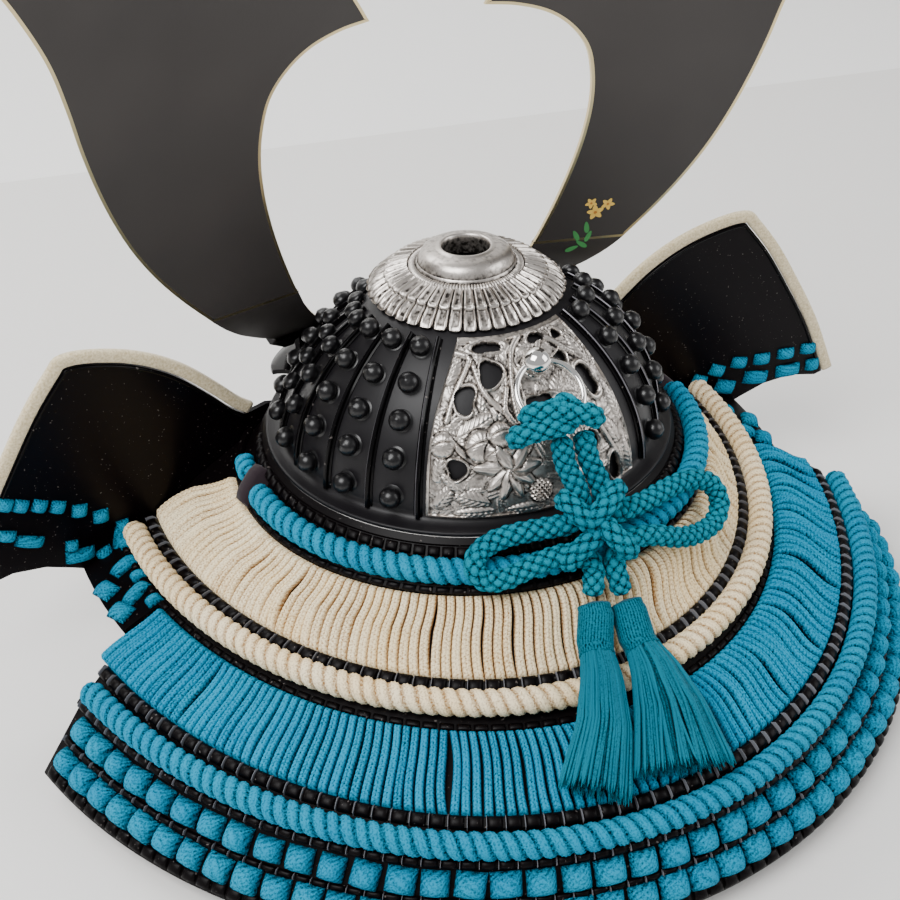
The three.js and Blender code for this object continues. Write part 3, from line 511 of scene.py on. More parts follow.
# %% Hitch and knot
HITCH = [
    [(9.8, 55.5, 25.7), (10.3, 57, 28.7), (8.3, 59, 30.3), (4.1, 60.5, 31.6), (-0.5, 61.3, 32.1),
     (-4.7, 59.9, 31.4)],
    [(6.3, 53.7, 31), (5.9, 55.8, 33.7), (3, 58.1, 35.2), (-0.8, 60.4, 35.5), (-5.2, 62.2, 35.1),
     (-8.5, 62.7, 33.9), (-10.4, 61.6, 30.5)],
    [(-4.4, 59.8, 32.3), (-3.5, 60.2, 36.3), (-2.4, 58.8, 37), (-1, 57.7, 35.1), (-0.4, 57.8, 32.9)],
]
KNOT = [
    [(0.4, 66.7, 9.6), (1.2, 67.6, 12.4), (0.9, 71, 12.6), (-1, 74.3, 10.3), (-4.3, 74.5, 6.5)],
    [(-6.7, 74, 7.1), (-6.8, 78.3, 7.3), (-8.4, 81, 5), (-10.7, 81.5, 2.3), (-12.1, 80.4, -0.3)],
    [(-13.9, 70.2, 13.9), (-11.4, 71.9, 14.5), (-8, 74.5, 13.2), (-4.6, 74.9, 10.9), (-2.9, 73.2, 7)],
    [(-5.5, 75.2, 4.9), (-1.4, 77.4, 4.7), (1.6, 77.7, 2.9), (3.8, 76.9, 0), (4.2, 75.5, -2.9)],
]


hitch = braid_piece("hitch_on_ring", [smooth_route(route, CORD_STEP) for route in HITCH], "cord_hitch")
knot = braid_piece("knot_turns", [smooth_route(route, CORD_STEP) for route in KNOT], "bow_knot")

# %% [markdown]
# ## Tassels
# A tassel is a bundle of twisted threads folded over a core, bound into a smooth head, and cut
# level at the foot. The head is a ribbed skin over the model's sections. The skirt's threads are
# thin tubes, each from its place at the head to its place at the foot, so light falls between them.

# %% Tassels
HEAD_RADIUS = 4.6
TASSELS = {
    "left": [
        (-1.2, 80.9, -13.2, 0.8, 0.8), (-0.9, 83.4, -16, 1, 1), (1.9, 88.6, -20.4, 1.04, 1),
        (2.6, 90.6, -21.5, 0.98, 0.92), (4.8, 98.2, -24.5, 1.25, 1), (9.6, 109, -30, 1.6, 1.05),
        (19.4, 122.6, -37.6, 2.1, 1.15),
    ],
    "right": [
        (-10.3, 82.0, -14.9, 0.8, 0.8), (-10.6, 84.4, -17.4, 1, 1), (-9.9, 90.2, -21.7, 1.04, 1),
        (-10.0, 92.2, -22.7, 0.98, 0.92), (-10.2, 99.8, -25.4, 1.5, 1), (-9.4, 110, -30.2, 2.2, 1.05),
        (-6.0, 124.6, -38.2, 3.1, 1.15),
    ],
}
THREADS = 170
THREAD_RADIUS = 0.42


def tassel_frames(table):
    centres = np.array([row[:3] for row in table])
    along = unit(np.gradient(centres, axis=0))
    side = unit(np.array([1.0, 0, 0]) - along * along[:, :1])
    return centres, side, np.cross(side, along)


def sampled(values, places):
    """A table's columns between its rows."""
    return np.stack([np.interp(places, range(len(values)), column) for column in values.T], axis=1)


def thread_twist(turn, run):
    return 0.5 + 0.5 * np.sin(2 * np.pi * (turn + run / 1.6))


def tassel_piece(which):
    table = TASSELS[which]
    rng = np.random.default_rng(7 if which == "left" else 8)
    centres, side, out = tassel_frames(table)
    size = np.array([row[3:] for row in table]) * HEAD_RADIUS
    heap = Heap()
    # head: ribbed skin over the first four sections
    turn = np.arange(72) / 72 * 2 * np.pi
    t = np.linspace(0, 3.2, 36)
    c, r = sampled(centres, t), sampled(size, t)
    s, o = unit(sampled(side, t)), unit(sampled(out, t))
    ribs = np.abs(np.sin(turn * 18))[None, :]
    close = np.clip(1 - (1 - np.minimum(1, t / 0.32)) ** 2.4, 0.05, 1)[:, None]
    close[:8] *= np.linspace(1.16, 1, 8)[:, None]
    bulge = close * (1 + 0.06 * ribs)
    head = c[:, None] + (r[:, :1] * np.cos(turn) * bulge)[..., None] * s[:, None] \
        + (r[:, 1:] * np.sin(turn) * bulge)[..., None] * o[:, None]
    # the tone is painted shade, darker between the head's ribs
    heap.grid(head, np.broadcast_to(0.35 + 0.55 * ribs, head.shape[:2]), wrap_columns=True, caps=True)
    # binding where the head meets the skirt
    band = np.array([c[-4] + r[-4, 0] * 0.98 * np.cos(a) * s[-4] + r[-4, 1] * 0.98 * np.sin(a) * o[-4]
                     for a in np.linspace(0, 2 * np.pi, 60)])
    points, height = tube(band, 0.55, lambda turn, run: np.abs(np.sin(run * 3)) + 0 * turn, 0.12, around=8)
    heap.grid(points, height, wrap_columns=True, caps=True)
    # skirt: one thin tube for each thread
    steps = np.linspace(3.0, len(table) - 1, 18)
    c, r = sampled(centres, steps), sampled(size, steps)
    s, o = unit(sampled(side, steps)), unit(sampled(out, steps))
    foot = unit(centres[-1] - centres[-2])
    for n in range(THREADS):
        shell = 1 - 0.32 * rng.random() ** 1.6
        angle = 2 * np.pi * (n * 0.618 % 1) + rng.normal(0, 0.03)
        bend = rng.normal(0, 0.05)
        a = (angle + bend * np.sin(np.linspace(0, math.pi * 1.3, len(steps))))[:, None]
        reach = shell * np.linspace(0.93, 1.0, len(steps))[:, None]
        line = c + (r[:, :1] * reach * np.cos(a)) * s + (r[:, 1:] * reach * np.sin(a)) * o
        line[-1] += foot * rng.uniform(-1.2, 0.6)
        points, height = tube(line, THREAD_RADIUS, thread_twist, 0.07, around=5, taper=0.4, first=(1, 0, 0.2))
        # the tone is painted shade: threads deeper inside the skirt are darker
        tone = np.clip(0.25 + 0.75 * (shell - 0.68) / 0.32 + rng.normal(0, 0.12), 0, 1)
        heap.grid(points, height * 0 + tone, wrap_columns=True, caps=True)
    return heap.piece(f"silk_tassel_{which}", [TASSEL_SILK], replaces=[f"tassel_{which}"], sharp=180)


TASSEL_PIECES = {which: tassel_piece(which) for which in TASSELS}

for which, extra in (("left", [hitch]), ("right", [knot])):
    thing, line = CORDS[which]
    length = float(np.linalg.norm(np.diff(line, axis=0), axis=1).sum())
    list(extra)
    print(f"cord {which}: {length:.1f} mm long")

# %% [markdown]
# ## Floor and light
# A pale table with a paler ground and wall beyond its far edge, in soft light from the upper left,
# as in a product photograph. The helmet is held a little above the table.

# %% Floor and light
FLOOR_Z = -79.0
TABLE_EDGE = (-711, -152)     # y of the table's far edge at either end, +X first
FLOOR_END, WALL_Y, WALL_TOP = 2500, -900, 2500

floor_mesh = bpy.data.meshes.new("floor")
floor_mesh.from_pydata([(x * MM, y * MM, z * MM) for x, y, z in (
    (-FLOOR_END, TABLE_EDGE[1], FLOOR_Z), (FLOOR_END, TABLE_EDGE[0], FLOOR_Z),
    (FLOOR_END, FLOOR_END, FLOOR_Z), (-FLOOR_END, FLOOR_END, FLOOR_Z),
    (-FLOOR_END, WALL_Y, FLOOR_Z), (FLOOR_END, WALL_Y, FLOOR_Z),
    (-FLOOR_END, WALL_Y, WALL_TOP), (FLOOR_END, WALL_Y, WALL_TOP))],
    [], [(0, 1, 2, 3), (0, 4, 5, 1), (4, 6, 7, 5)])
floor_mesh.materials.append(finish("pale table", "#eceae7", 0.6)[0])
floor_mesh.materials.append(finish("pale wall", "#fbfaf8", 0.7)[0])
floor_mesh.polygons.foreach_set("material_index", [0, 1, 1])
floor = bpy.data.objects.new("floor", floor_mesh)
bpy.context.scene.collection.objects.link(floor)

world = bpy.data.worlds.new("soft room")
world.use_nodes = True
world.node_tree.nodes["Background"].inputs["Color"].default_value = linear("#f2f3f5")
world.node_tree.nodes["Background"].inputs["Strength"].default_value = 0.55
bpy.context.scene.world = world


LIGHT_AIM = Vector((0, 20, 0))


def soft_light(name, place, size, watts):
    data = bpy.data.lights.new(name, "AREA")
    data.shape = "RECTANGLE"
    data.size, data.size_y = size[0] * MM, size[1] * MM
    data.energy = watts
    lamp = bpy.data.objects.new(name, data)
    bpy.context.scene.collection.objects.link(lamp)
    lamp.location = Vector(place) * MM
    lamp.rotation_euler = (LIGHT_AIM - Vector(place)).to_track_quat("-Z", "Y").to_euler()


# image-left is +X and the camera looks from +Y
soft_light("key softbox", (620, 350, 900), (700, 700), 17)
soft_light("back softbox", (300, -800, 900), (900, 500), 9)
soft_light("fill softbox", (-900, 500, 500), (700, 700), 6)

# %% [markdown]
# ## Bowl
# The bowl is raised from plates that overlap under standing ribs, and each plate carries a column
# of round-headed rivets. The shell is a half ellipse turned about the crown, and `settled` lowers
# and narrows its front half a little. Ribs and rivets are laid on it along its own normal. They are
# separate skins, so ribs can be glossier than plates.

# %% Bowl forms
BOWL_RADIUS, BOWL_HEIGHT, BOWL_WALL = 57.2, 51.2, 1.6
RIM_RADIUS, RIM_TOP, RIM_BOTTOM = 62.0, 1.0, -0.2
CROWN_HOLE_RADIUS = 6.9
RIB_COUNT = 24
BACK_PANEL_ANGLE = 37.5
FRONT_LOWERING, FRONT_NARROWING = 0.13, 0.07
STUD_HEIGHTS = [41.4, 34.8, 27, 18, 7.4]


def polar(angle, radius, z):
    """Points at an angle in degrees from the back towards +X."""
    a = np.radians(angle)
    return np.stack(np.broadcast_arrays(radius * np.sin(a), radius * np.cos(a), z), axis=-1)


def bowl_radius(z, lift=0.0):
    return (BOWL_RADIUS + lift) * np.sqrt(np.clip(1 - (np.asarray(z) / (BOWL_HEIGHT + lift)) ** 2, 0, None))


def bowl_z(radius):
    return BOWL_HEIGHT * np.sqrt(np.clip(1 - (np.asarray(radius) / BOWL_RADIUS) ** 2, 0, None))


def bowl_point(angle, z, lift):
    """A point over the bowl, lifted along its normal."""
    r, h = bowl_radius(z) / BOWL_RADIUS ** 2, np.asarray(z) / BOWL_HEIGHT ** 2
    length = np.hypot(r, h)
    return polar(angle, bowl_radius(z) + lift * r / length, np.asarray(z) + lift * h / length)


def settled(points):
    """The bowl's front half is a little lower and narrower than the half ellipse."""
    points = np.array(points, dtype=float)
    x, y, z = (points[..., i] for i in range(3))
    front = np.clip((12 - y) / 34, 0, 1)
    outside = np.clip((np.hypot(x, y) - 22) / 14, 0, 1)
    share = front ** 2 * (3 - 2 * front) * outside ** 2 * (3 - 2 * outside)
    above = np.clip((z - 3) / 20, 0, 1)
    share = share * above
    return np.stack([x * (1 - FRONT_NARROWING * share), y, z * (1 - FRONT_LOWERING * share)], axis=-1)


def turned(profile, segments):
    """A profile of radius and height turned about the vertical axis."""
    profile = np.asarray(profile, dtype=float)
    angle = np.arange(segments) * 360 / segments
    return polar(angle[:, None], profile[None, :, 0], profile[None, :, 1])


def placed(points, at, out, turn=0.0):
    """Points drawn with +Z outwards, stood on a surface at a point with its outward direction."""
    out = unit(out)
    side = unit(np.cross((0, 0, 1), out) if abs(out[2]) < 0.99 else np.array((1.0, 0, 0)))
    top = np.cross(out, side)
    c, s = math.cos(turn), math.sin(turn)
    axes = np.array([side * c + top * s, top * c - side * s, out])
    return np.asarray(points) @ axes + np.asarray(at)


# %% [markdown]
# ### Shell
# The outer profile, the rim's flange and the inner profile make one closed section, which is turned
# about the crown as a spinner would turn it.

# %% Bowl shell
outer = [(bowl_radius(z), z) for z in np.linspace(2.6, 49.2, 34)]
inner = [(bowl_radius(z, -BOWL_WALL), z * (1 - BOWL_WALL / BOWL_HEIGHT)) for z in np.linspace(49.6, 2, 20)]
profile = [(60.8, RIM_BOTTOM), (RIM_RADIUS - 0.2, RIM_BOTTOM), (RIM_RADIUS, 0.1), (RIM_RADIUS, 0.8),
           (RIM_RADIUS - 0.2, RIM_TOP), (RIM_RADIUS - 0.8, RIM_TOP + 0.1), (59.6, 1.25), (58.1, 1.8),
           *outer, (CROWN_HOLE_RADIUS + 1, bowl_z(CROWN_HOLE_RADIUS + 1)), *inner,
           (BOWL_RADIUS - BOWL_WALL, RIM_BOTTOM)]
heap = Heap()
heap.grid(settled(turned(profile, 144)), wrap_rows=True, wrap_columns=True)
heap.piece("bowl_shell", [BOWL_PAINT], replaces=["bowl"], sharp=50)

# %% [markdown]
# ### Ribs
# A rib is a folded strip that stands on the seam between two plates, narrower towards the crown. One
# strip of faces along one upper edge takes a pale paint, a painted highlight.

# %% Ribs
HIGHLIGHT_STRIP = 5     # the strip of the rib's painted highlight, counted round its section
heap, pick = Heap(), []
for i in range(RIB_COUNT):
    angle = (i + 0.5) * 360 / RIB_COUNT - 180
    if abs(angle) < BACK_PANEL_ANGLE - 1:
        continue
    levels = np.concatenate([[2.4], np.linspace(3.2, 43.3, 30)])
    half = 1.1 * (0.6 + 0.4 * bowl_radius(levels) / BOWL_RADIUS)
    section = np.array([(-1.25, -0.5), (-1.1, 0.25), (-0.62, 0.5), (-0.55, 1.35), (-0.3, 1.62), (0.3, 1.62),
                        (0.55, 1.35), (0.62, 0.5), (1.1, 0.25), (1.25, -0.5)])
    sideways = np.degrees(half[:, None] * section[None, :, 0] / bowl_radius(levels)[:, None])
    heap.grid(settled(bowl_point(angle + sideways, levels[:, None], section[None, :, 1])), caps=True)
    pick += [1 if j == HIGHLIGHT_STRIP else 0 for _ in levels[1:] for j in range(len(section) - 1)] + [0, 0]
heap.piece("bowl_ribs", [RIB_LACQUER, RIB_HIGHLIGHT_PAINT], sharp=28, pick=pick)

# %% [markdown]
# ### Rivets
# Round-headed rivets stand on a small washer, five to a plate. Each is the same turned profile, a
# little smaller towards the crown.

# %% Rivets
RIVET = [
    (0, 5.15), (0.55, 5.12), (0.8, 4.95), (1.2, 4.86), (2.0, 4.42), (2.75, 3.6), (3.12, 2.6),
    (3.05, 1.7), (2.6, 0.95), (2.35, 0.6), (3.0, 0.42), (3.5, 0.1), (3.5, -0.4),
]
heap = Heap()
dome = turned([(r, z - 0.35) for r, z in RIVET], 24)
for i in range(RIB_COUNT):
    angle = i * 360 / RIB_COUNT - 180
    if abs(angle) < BACK_PANEL_ANGLE:
        continue
    for z in STUD_HEIGHTS:
        at, off = bowl_point(angle, z, 0.0), bowl_point(angle, z, 1.0)
        scale = 0.86 + 0.14 * bowl_radius(z) / BOWL_RADIUS
        heap.grid(settled(placed(dome * scale, at, off - at)), wrap_rows=True)
heap.piece("bowl_rivets", [STUD_PAINT], sharp=50)

# %% [markdown]
# ## Crown fitting
# The fitting round the crown's hole is one casting: a disc with two tiers of rounded petals, a
# beaded line, a collar and a domed ring. It is a height over the bowl that depends on the radius
# and, in the petals, on the angle.

# %% Crown fitting
PETALS, PER_PETAL = 42, 16     # points round one petal
BEADS = 58
DISC_RADIUS = 28.9
# rows from the disc's underside to the hole: radius, height over the bowl, patina height
COLLAR = [
    (16.9, 2.5, 0.1), (16.4, 2.7, 0.2), (15.1, 2.75, 0.15), (14.6, 2.7, 0.1), (14.4, 3.3, 0.5),
    (14.1, 3.5, 0.7), (13.9, 3.3, 0.2), (13.75, 4.0, 0.45), (13.4, 5.0, 0.6), (12.8, 5.8, 0.7),
    (11.8, 6.4, 0.62), (10.4, 6.6, 0.55), (9, 6.55, 0.6), (8.3, 6.6, 0.7), (7.9, 6.85, 0.9),
    (7.4, 6.85, 0.95), (7.05, 6.5, 0.7), (6.9, 5.4, 0.3), (6.9, 0.7, 0.1),
]


def crown_fitting():
    angle = np.arange(PETALS * PER_PETAL) * 360 / (PETALS * PER_PETAL)
    phase = np.abs((np.arange(PETALS * PER_PETAL) % PER_PETAL) / PER_PETAL * 2 - 1)
    tip_curve = np.sqrt(np.clip(1 - phase ** 3.2, 0, 1))
    gap = np.clip((phase - 0.82) / 0.14, 0, 1)
    rim = np.exp(-((phase - 0.66) / 0.17) ** 2)
    sunk = np.clip(1 - (phase / 0.55) ** 4, 0, 1)
    rows = []

    def row(radius, lift, tone):
        radius = np.broadcast_to(radius, angle.shape)
        rows.append((radius, bowl_z(np.clip(radius, 7.5, None)) + lift, np.broadcast_to(tone, angle.shape)))

    def tier(tip, root, foot_lift, root_lift, drop):
        """A ring of petals from its rounded tips in to its root. drop is how far the tips bend down."""
        edge = tip - 1.3 * (1 - tip_curve)
        row(edge, foot_lift, 0.1)
        row(edge + 0.12, foot_lift + 0.5, 0.55)
        for share in (0.0, 0.05, 0.12, 0.2, 0.3, 0.45, 0.6, 0.75, 0.88, 1.0):
            climb = (root_lift - foot_lift - 1.0) * min(1, share / 0.9)
            lift = foot_lift + 1.0 + climb - drop * (1 - share) ** 5
            panel = sunk * np.clip((share - 0.12) / 0.1, 0, 1) * np.clip((0.96 - share) / 0.1, 0, 1)
            row((edge - 0.15) * (1 - share) + root * share, lift + 0.36 * rim - 0.8 * gap - 0.4 * panel,
                np.clip(0.72 + 0.3 * rim - 0.5 * panel - 0.9 * gap, 0, 1))

    row(20.0, 0.5, 0.1)
    row(DISC_RADIUS - 2.6, 0.5, 0.2)
    tier(DISC_RADIUS, 23.2, 0.8, 2.3, 1.1)
    tier(23.9, 17.1, 2.3, 3.1, 0.2)
    for radius, lift, tone in COLLAR:
        bead = np.abs(np.sin(np.radians(angle) * BEADS)) if 15 < radius < 16.5 else 0
        row(radius, lift + 0.45 * bead, np.clip(tone + 0.7 * bead, 0, 1))
    radius, z, tone = (np.array(v) for v in zip(*rows))
    heap = Heap()
    heap.grid(polar(angle[None, :], radius, z), tone, wrap_columns=True, wrap_rows=True)
    heap.piece("crown_casting", [CAST_SILVER], replaces=["crown_fitting"], sharp=60)


crown_fitting()

# %% [markdown]
# ## Relief plate on the back panel
# This is openwork in the round: leaves, a many-petalled blossom and buds, cast with the ground cut
# away between them. Its skin is a fine grid over the bowl. Each leaf raises the grid under it, and
# the grid's faces inside an opening are left out, with a wall down to the bowl round each one.

# %% Relief plate
PIERCED_TOP_Z, PIERCED_FOOT_Z, PIERCED_LEFT, PIERCED_RIGHT = 43.4, 3.4, 35, -30
PLATE_LIFT = 1.65
PLATE_ROWS, PLATE_COLUMNS = 210, 250     # points of the plate's grid
# angle, height, width, height of the opening, turn
OPENINGS = [
    (15, 41.6, 7.4, 2.4, 0), (14.5, 37.0, 5.6, 6.6, 12), (24.5, 32.4, 4.8, 6.8, 8),
    (26.5, 17, 4.4, 4.8, -20), (-9.5, 41.6, 4.4, 2.2, 0), (-20.5, 41, 2.6, 2.2, 0),
    (-15.5, 36.8, 3.8, 3.4, -30), (-21.8, 31.4, 4.2, 8.6, -10), (-0.5, 30.5, 7.5, 2.2, 0),
    (5.6, 33.5, 1.2, 6.5, 0), (-15, 17.5, 3.6, 6.4, 15), (-21.4, 8.0, 3.8, 7.4, -8),
]
# angle, height, length, width, turn in degrees from upright, rise
LEAVES = [
    (20, 27, 13, 5.5, -60, 1.3), (31, 25, 11, 5.4, 14, 1.2), (29, 38, 9, 5, -20, 1.2),
    (22, 40.5, 8, 4, 60, 1.0), (6.5, 41.5, 9, 3.2, -8, 1.1), (19.5, 36.5, 9, 3, 12, 1.0),
    (9.6, 36, 9, 2.6, -8, 1.0), (-3, 40.6, 8, 4.6, 70, 1.1), (-5, 26, 9, 4.2, 40, 1.1),
    (-10, 33, 8, 4.6, -30, 1.1), (-12, 25, 10, 4.6, 15, 1.0), (-26, 38, 9, 3.4, 8, 1.1),
    (-27.6, 25, 11, 3.6, 2, 1.1), (-10, 20, 9, 4.4, -15, 1.0), (-23, 18.5, 10, 4.6, 20, 1.2),
    (-15, 9.5, 9, 5, -70, 1.2), (-27.8, 9, 11, 3.2, 5, 1.1), (-7, 11, 9, 4.4, 65, 1.1),
    (24, 9.5, 13, 4.6, 72, 1.3), (29.5, 10, 9, 4.4, -34, 1.2), (31.5, 17.5, 9, 4, -5, 1.1),
    (2, 27, 10, 4.4, 14, 1.0), (13, 30.5, 8, 4, -14, 1.1), (22, 22.5, 9, 3.4, 70, 1.2),
    (28, 13.4, 8, 3.2, 50, 1.2), (27, 29, 8, 3.2, -50, 1.1), (-2, 23, 7, 3.4, -50, 0.9),
    (-18, 23, 9, 4.4, -30, 1.1), (8, 5.2, 11, 3.2, 88, 1.1), (-20, 4.8, 9, 2.8, 90, 0.9),
    (22, 5.2, 11, 3.2, 92, 1.1), (-6, 6, 9, 3.2, 84, 1.0), (18.4, 33, 8, 2.6, -6, 1.1),
    (-17.5, 41.5, 7, 3, -40, 1.0), (0, 36.5, 8, 3.4, 50, 1.0), (-13, 29.5, 7, 3, 60, 1.0),
]
# the open flower's petals spread from one point: length, width, turn
FLOWER = (11.2, 16.4)
FLOWER_PETALS = [
    (10.5, 4.4, 84), (8.5, 4.2, 128), (9, 3.8, 160), (8.5, 3.8, 196), (8, 4, 232), (8.5, 4.4, -84),
    (8, 4, -40), (7.5, 3.8, 30),
]
# rounded cups of the closed peony: angle, height, radius, rise
CUPS = [
    (19.4, 22.4, 4.4, 2.0), (8.4, 22.6, 4.2, 1.9), (14, 20.6, 4.2, 2.2), (13.6, 24.8, 3.4, 1.8),
    (31, 22.6, 3.4, 1.6),
]
BUDS = [(3.2, 9.4, 3.3)]
SPRAYS = 260
VINES = [
    [(-3.2, 43), (4.4, 40), (7.6, 33), (7, 26)], [(29, 41), (22, 39.6), (17.8, 34), (10, 28.5)],
    [(22.4, 39.8), (28, 33), (30, 28)], [(-6, 39), (-13, 41.5), (-22, 37)],
    [(-16.5, 27), (-19.5, 20), (-23, 12)], [(31, 26), (25, 21), (19.6, 17.6)],
    [(9.6, 34), (11, 30), (8, 26)],
]


def relief_plate():
    rows, columns = PLATE_ROWS, PLATE_COLUMNS
    u = np.linspace(0, 1, columns)[None, :]
    z = np.linspace(PIERCED_FOOT_Z, PIERCED_TOP_Z, rows)[:, None]
    narrow = 1 - 0.2 * np.clip((z - 20) / (PIERCED_TOP_Z - 20), 0, None) ** 2
    left = PIERCED_LEFT * narrow
    angle = left + (PIERCED_RIGHT - left) * u
    z = np.broadcast_to(z, angle.shape)

    def local(at_angle, at_z, turn=0.0):
        """Distances in the plate's surface from a place, across and up, turned."""
        slope = 1 / np.clip(bowl_radius(at_z) / BOWL_RADIUS, 0.35, 1)
        x = np.radians(angle - at_angle) * bowl_radius(at_z)
        y = (z - at_z) * slope
        c, s = math.cos(math.radians(turn)), math.sin(math.radians(turn))
        return x * c - y * s, x * s + y * c

    def leaf(rise, place, length, width, turn, high, vein=1.5):
        """The ground with one leaf laid over it: a pointed dome with a midrib and side veins."""
        x, y = local(*place, turn)
        along = y / (length / 2)
        half = width / 2 * np.sqrt(np.clip(1 - along ** 2, 0, 1)) * (1 - 0.3 * along)
        share = np.clip(1 - np.abs(x) / np.maximum(half, 0.05), 0, 1)
        body = high * share ** 0.45 * (0.8 + 0.2 * np.cos(along * 2))
        body -= 0.34 * np.exp(-(x / 0.26) ** 2) * np.clip(share * 3, 0, 1)
        body -= 0.17 * (0.5 + 0.5 * np.cos((y - 1.1 * np.abs(x)) * 2 * math.pi / vein))
        return np.where((np.abs(along) < 1) & (share > 0), np.maximum(rise * 0.6, body), rise)

    rng = np.random.default_rng(31)
    rise = np.full(angle.shape, 0.12)
    for _ in range(SPRAYS):
        at_angle, at_z = rng.uniform(PIERCED_RIGHT, PIERCED_LEFT), rng.uniform(PIERCED_FOOT_Z, PIERCED_TOP_Z)
        lie = 70 * math.sin(at_angle * 0.16 + at_z * 0.11) + rng.normal(0, 22)
        length, width = rng.uniform(4, 8), rng.uniform(1.4, 2.6)
        rise = leaf(rise, (at_angle, at_z), length, width, lie, rng.uniform(0.5, 0.85), 0.9)
    for at_angle, at_z, length, width, turn, high in LEAVES:
        rise = leaf(rise, (at_angle, at_z), length, width, turn, high)
    for vine in VINES:
        line = smooth_route([(a, h, 0) for a, h in vine], 0.8)
        near = np.full(angle.shape, 9.0)
        for a, h, _ in line:
            near = np.minimum(near, np.hypot(*local(a, h)))
        stem = 1.35 * np.sqrt(np.clip(1 - (near / 0.85) ** 2, 0, 1)) - 0.3 * np.exp(-(near / 0.16) ** 2)
        beside = rise * np.clip(0.55 + 0.45 * (near - 0.85) / 0.5, 0.55, 1)
        rise = np.where(near < 0.85, np.maximum(rise, stem), beside)
    for at_angle, at_z, radius, high in CUPS:
        x, y = local(at_angle, at_z)
        r, a = np.hypot(x, y) / radius, np.arctan2(y, x)
        cup = high * np.sqrt(np.clip(1 - r ** 2.4, 0, 1)) - 0.12 * (0.5 + 0.5 * np.cos(a * 16 + r * 5))
        cup -= 0.5 * np.exp(-((y + 0.25 * x - 0.3 * radius * np.cos(x / radius * 1.4)) / 0.22) ** 2)
        rise = np.where(r < 1, np.maximum(cup, rise * 0.5), np.where(r < 1.09, rise * 0.45, rise))
    fx, fz = FLOWER
    for length, width, turn in FLOWER_PETALS:
        reach = math.radians(turn)
        place = (fx + math.degrees(math.sin(reach) * length / 2 / float(bowl_radius(fz))),
                 fz + math.cos(reach) * length / 2 * float(bowl_radius(fz)) / BOWL_RADIUS)
        rise = leaf(rise, place, length, width, turn, 1.9, 6.0)
    for at_angle, at_z, radius in BUDS:
        x, y = local(at_angle, at_z)
        r = np.hypot(x, y)
        beads = 0.5 * np.sin(x * 4.4 + y) * np.sin(y * 4.4 - x)
        bud = 2.3 * np.sqrt(np.clip(1 - (r / radius) ** 2, 0, 1)) * (0.62 + beads)
        rise = np.where(r < radius, bud, np.where(r < radius + 0.5, 0.1, rise))
    side = np.minimum(u, 1 - u) * 55
    edge = np.minimum(side, np.minimum(z - PIERCED_FOOT_Z, PIERCED_TOP_Z - z))
    rise = np.where(edge < 0.8, np.maximum(0.75 * np.sqrt(np.clip(edge / 0.8, 0, 1)), 0.25), rise)
    gone = np.zeros(angle.shape, dtype=bool)
    for at_angle, at_z, width, height, turn in OPENINGS:
        x, y = local(at_angle, at_z, -turn)
        ripple = 1 + 0.12 * np.sin(np.arctan2(y, x) * 3 + at_z)
        away = (np.abs(x / (width / 2)) ** 2.6 + np.abs(y / (height / 2)) ** 2.6) ** (1 / 2.6) / ripple
        size = min(width, height) / 2
        lip = (away - 1) * size
        rolled = 0.95 * np.sin(np.pi * np.clip(lip / 0.95, 0, 1)) + 0.1
        rise = np.where((lip > 0) & (lip < 0.95), np.maximum(rise, rolled), rise)
        gone |= away < 1
    points = bowl_point(angle, z, PLATE_LIFT - 0.55 + rise)
    # patina lies in hollows: the height against the mean height round it, and a little of the height itself
    around = sum(np.roll(rise, shift, axis) for shift in (-4, -2, 2, 4) for axis in (0, 1)) / 8
    tone = np.clip(0.56 + 1.2 * (rise - around) + 0.12 * (rise - 0.6), 0, 1)
    dropped = gone[:-1, :-1] | gone[1:, :-1] | gone[:-1, 1:] | gone[1:, 1:]
    keep = ~dropped

    def number(i, j):
        return i * columns + j

    faces = [[number(i, j), number(i, j + 1), number(i + 1, j + 1), number(i + 1, j)]
             for i, j in zip(*np.nonzero(keep))]
    base = rows * columns
    foot = bowl_point(angle, z, 0.4)
    padded = np.pad(keep, 1)
    for i, j in zip(*np.nonzero(keep)):
        for (di, dj), (p, q) in (((-1, 0), ((i, j), (i, j + 1))), ((1, 0), ((i + 1, j + 1), (i + 1, j))),
                                 ((0, -1), ((i + 1, j), (i, j))), ((0, 1), ((i, j + 1), (i + 1, j + 1)))):
            if not padded[i + 1 + di, j + 1 + dj]:
                faces.append([number(*q), number(*p), base + number(*p), base + number(*q)])
    every = np.vstack([points.reshape(-1, 3), foot.reshape(-1, 3)])
    tones = np.concatenate([tone.ravel(), np.zeros(base)])
    used = np.unique(np.array(faces))
    renumber = np.full(len(every), -1)
    renumber[used] = np.arange(len(used))
    faces = renumber[np.array(faces)].tolist()
    piece("relief_plate", every[used], faces, [CAST_SILVER], replaces=["pierced_plate"],
          height=tones[used], sharp=60)


relief_plate()

# %% [markdown]
# ## Ring and its stud
# A bright wire ring hangs from a polished ball stud that its wire runs through.

# %% Ring and stud
STUD_ANGLE, RING_STUD_Z, RING_STUD_LIFT, RING_STUD_RADIUS = -2.7, 37.2, 5.0, 4.0
RING_RADIUS, RING_WIRE, RING_SWING = 9.5, 0.95, 2.0


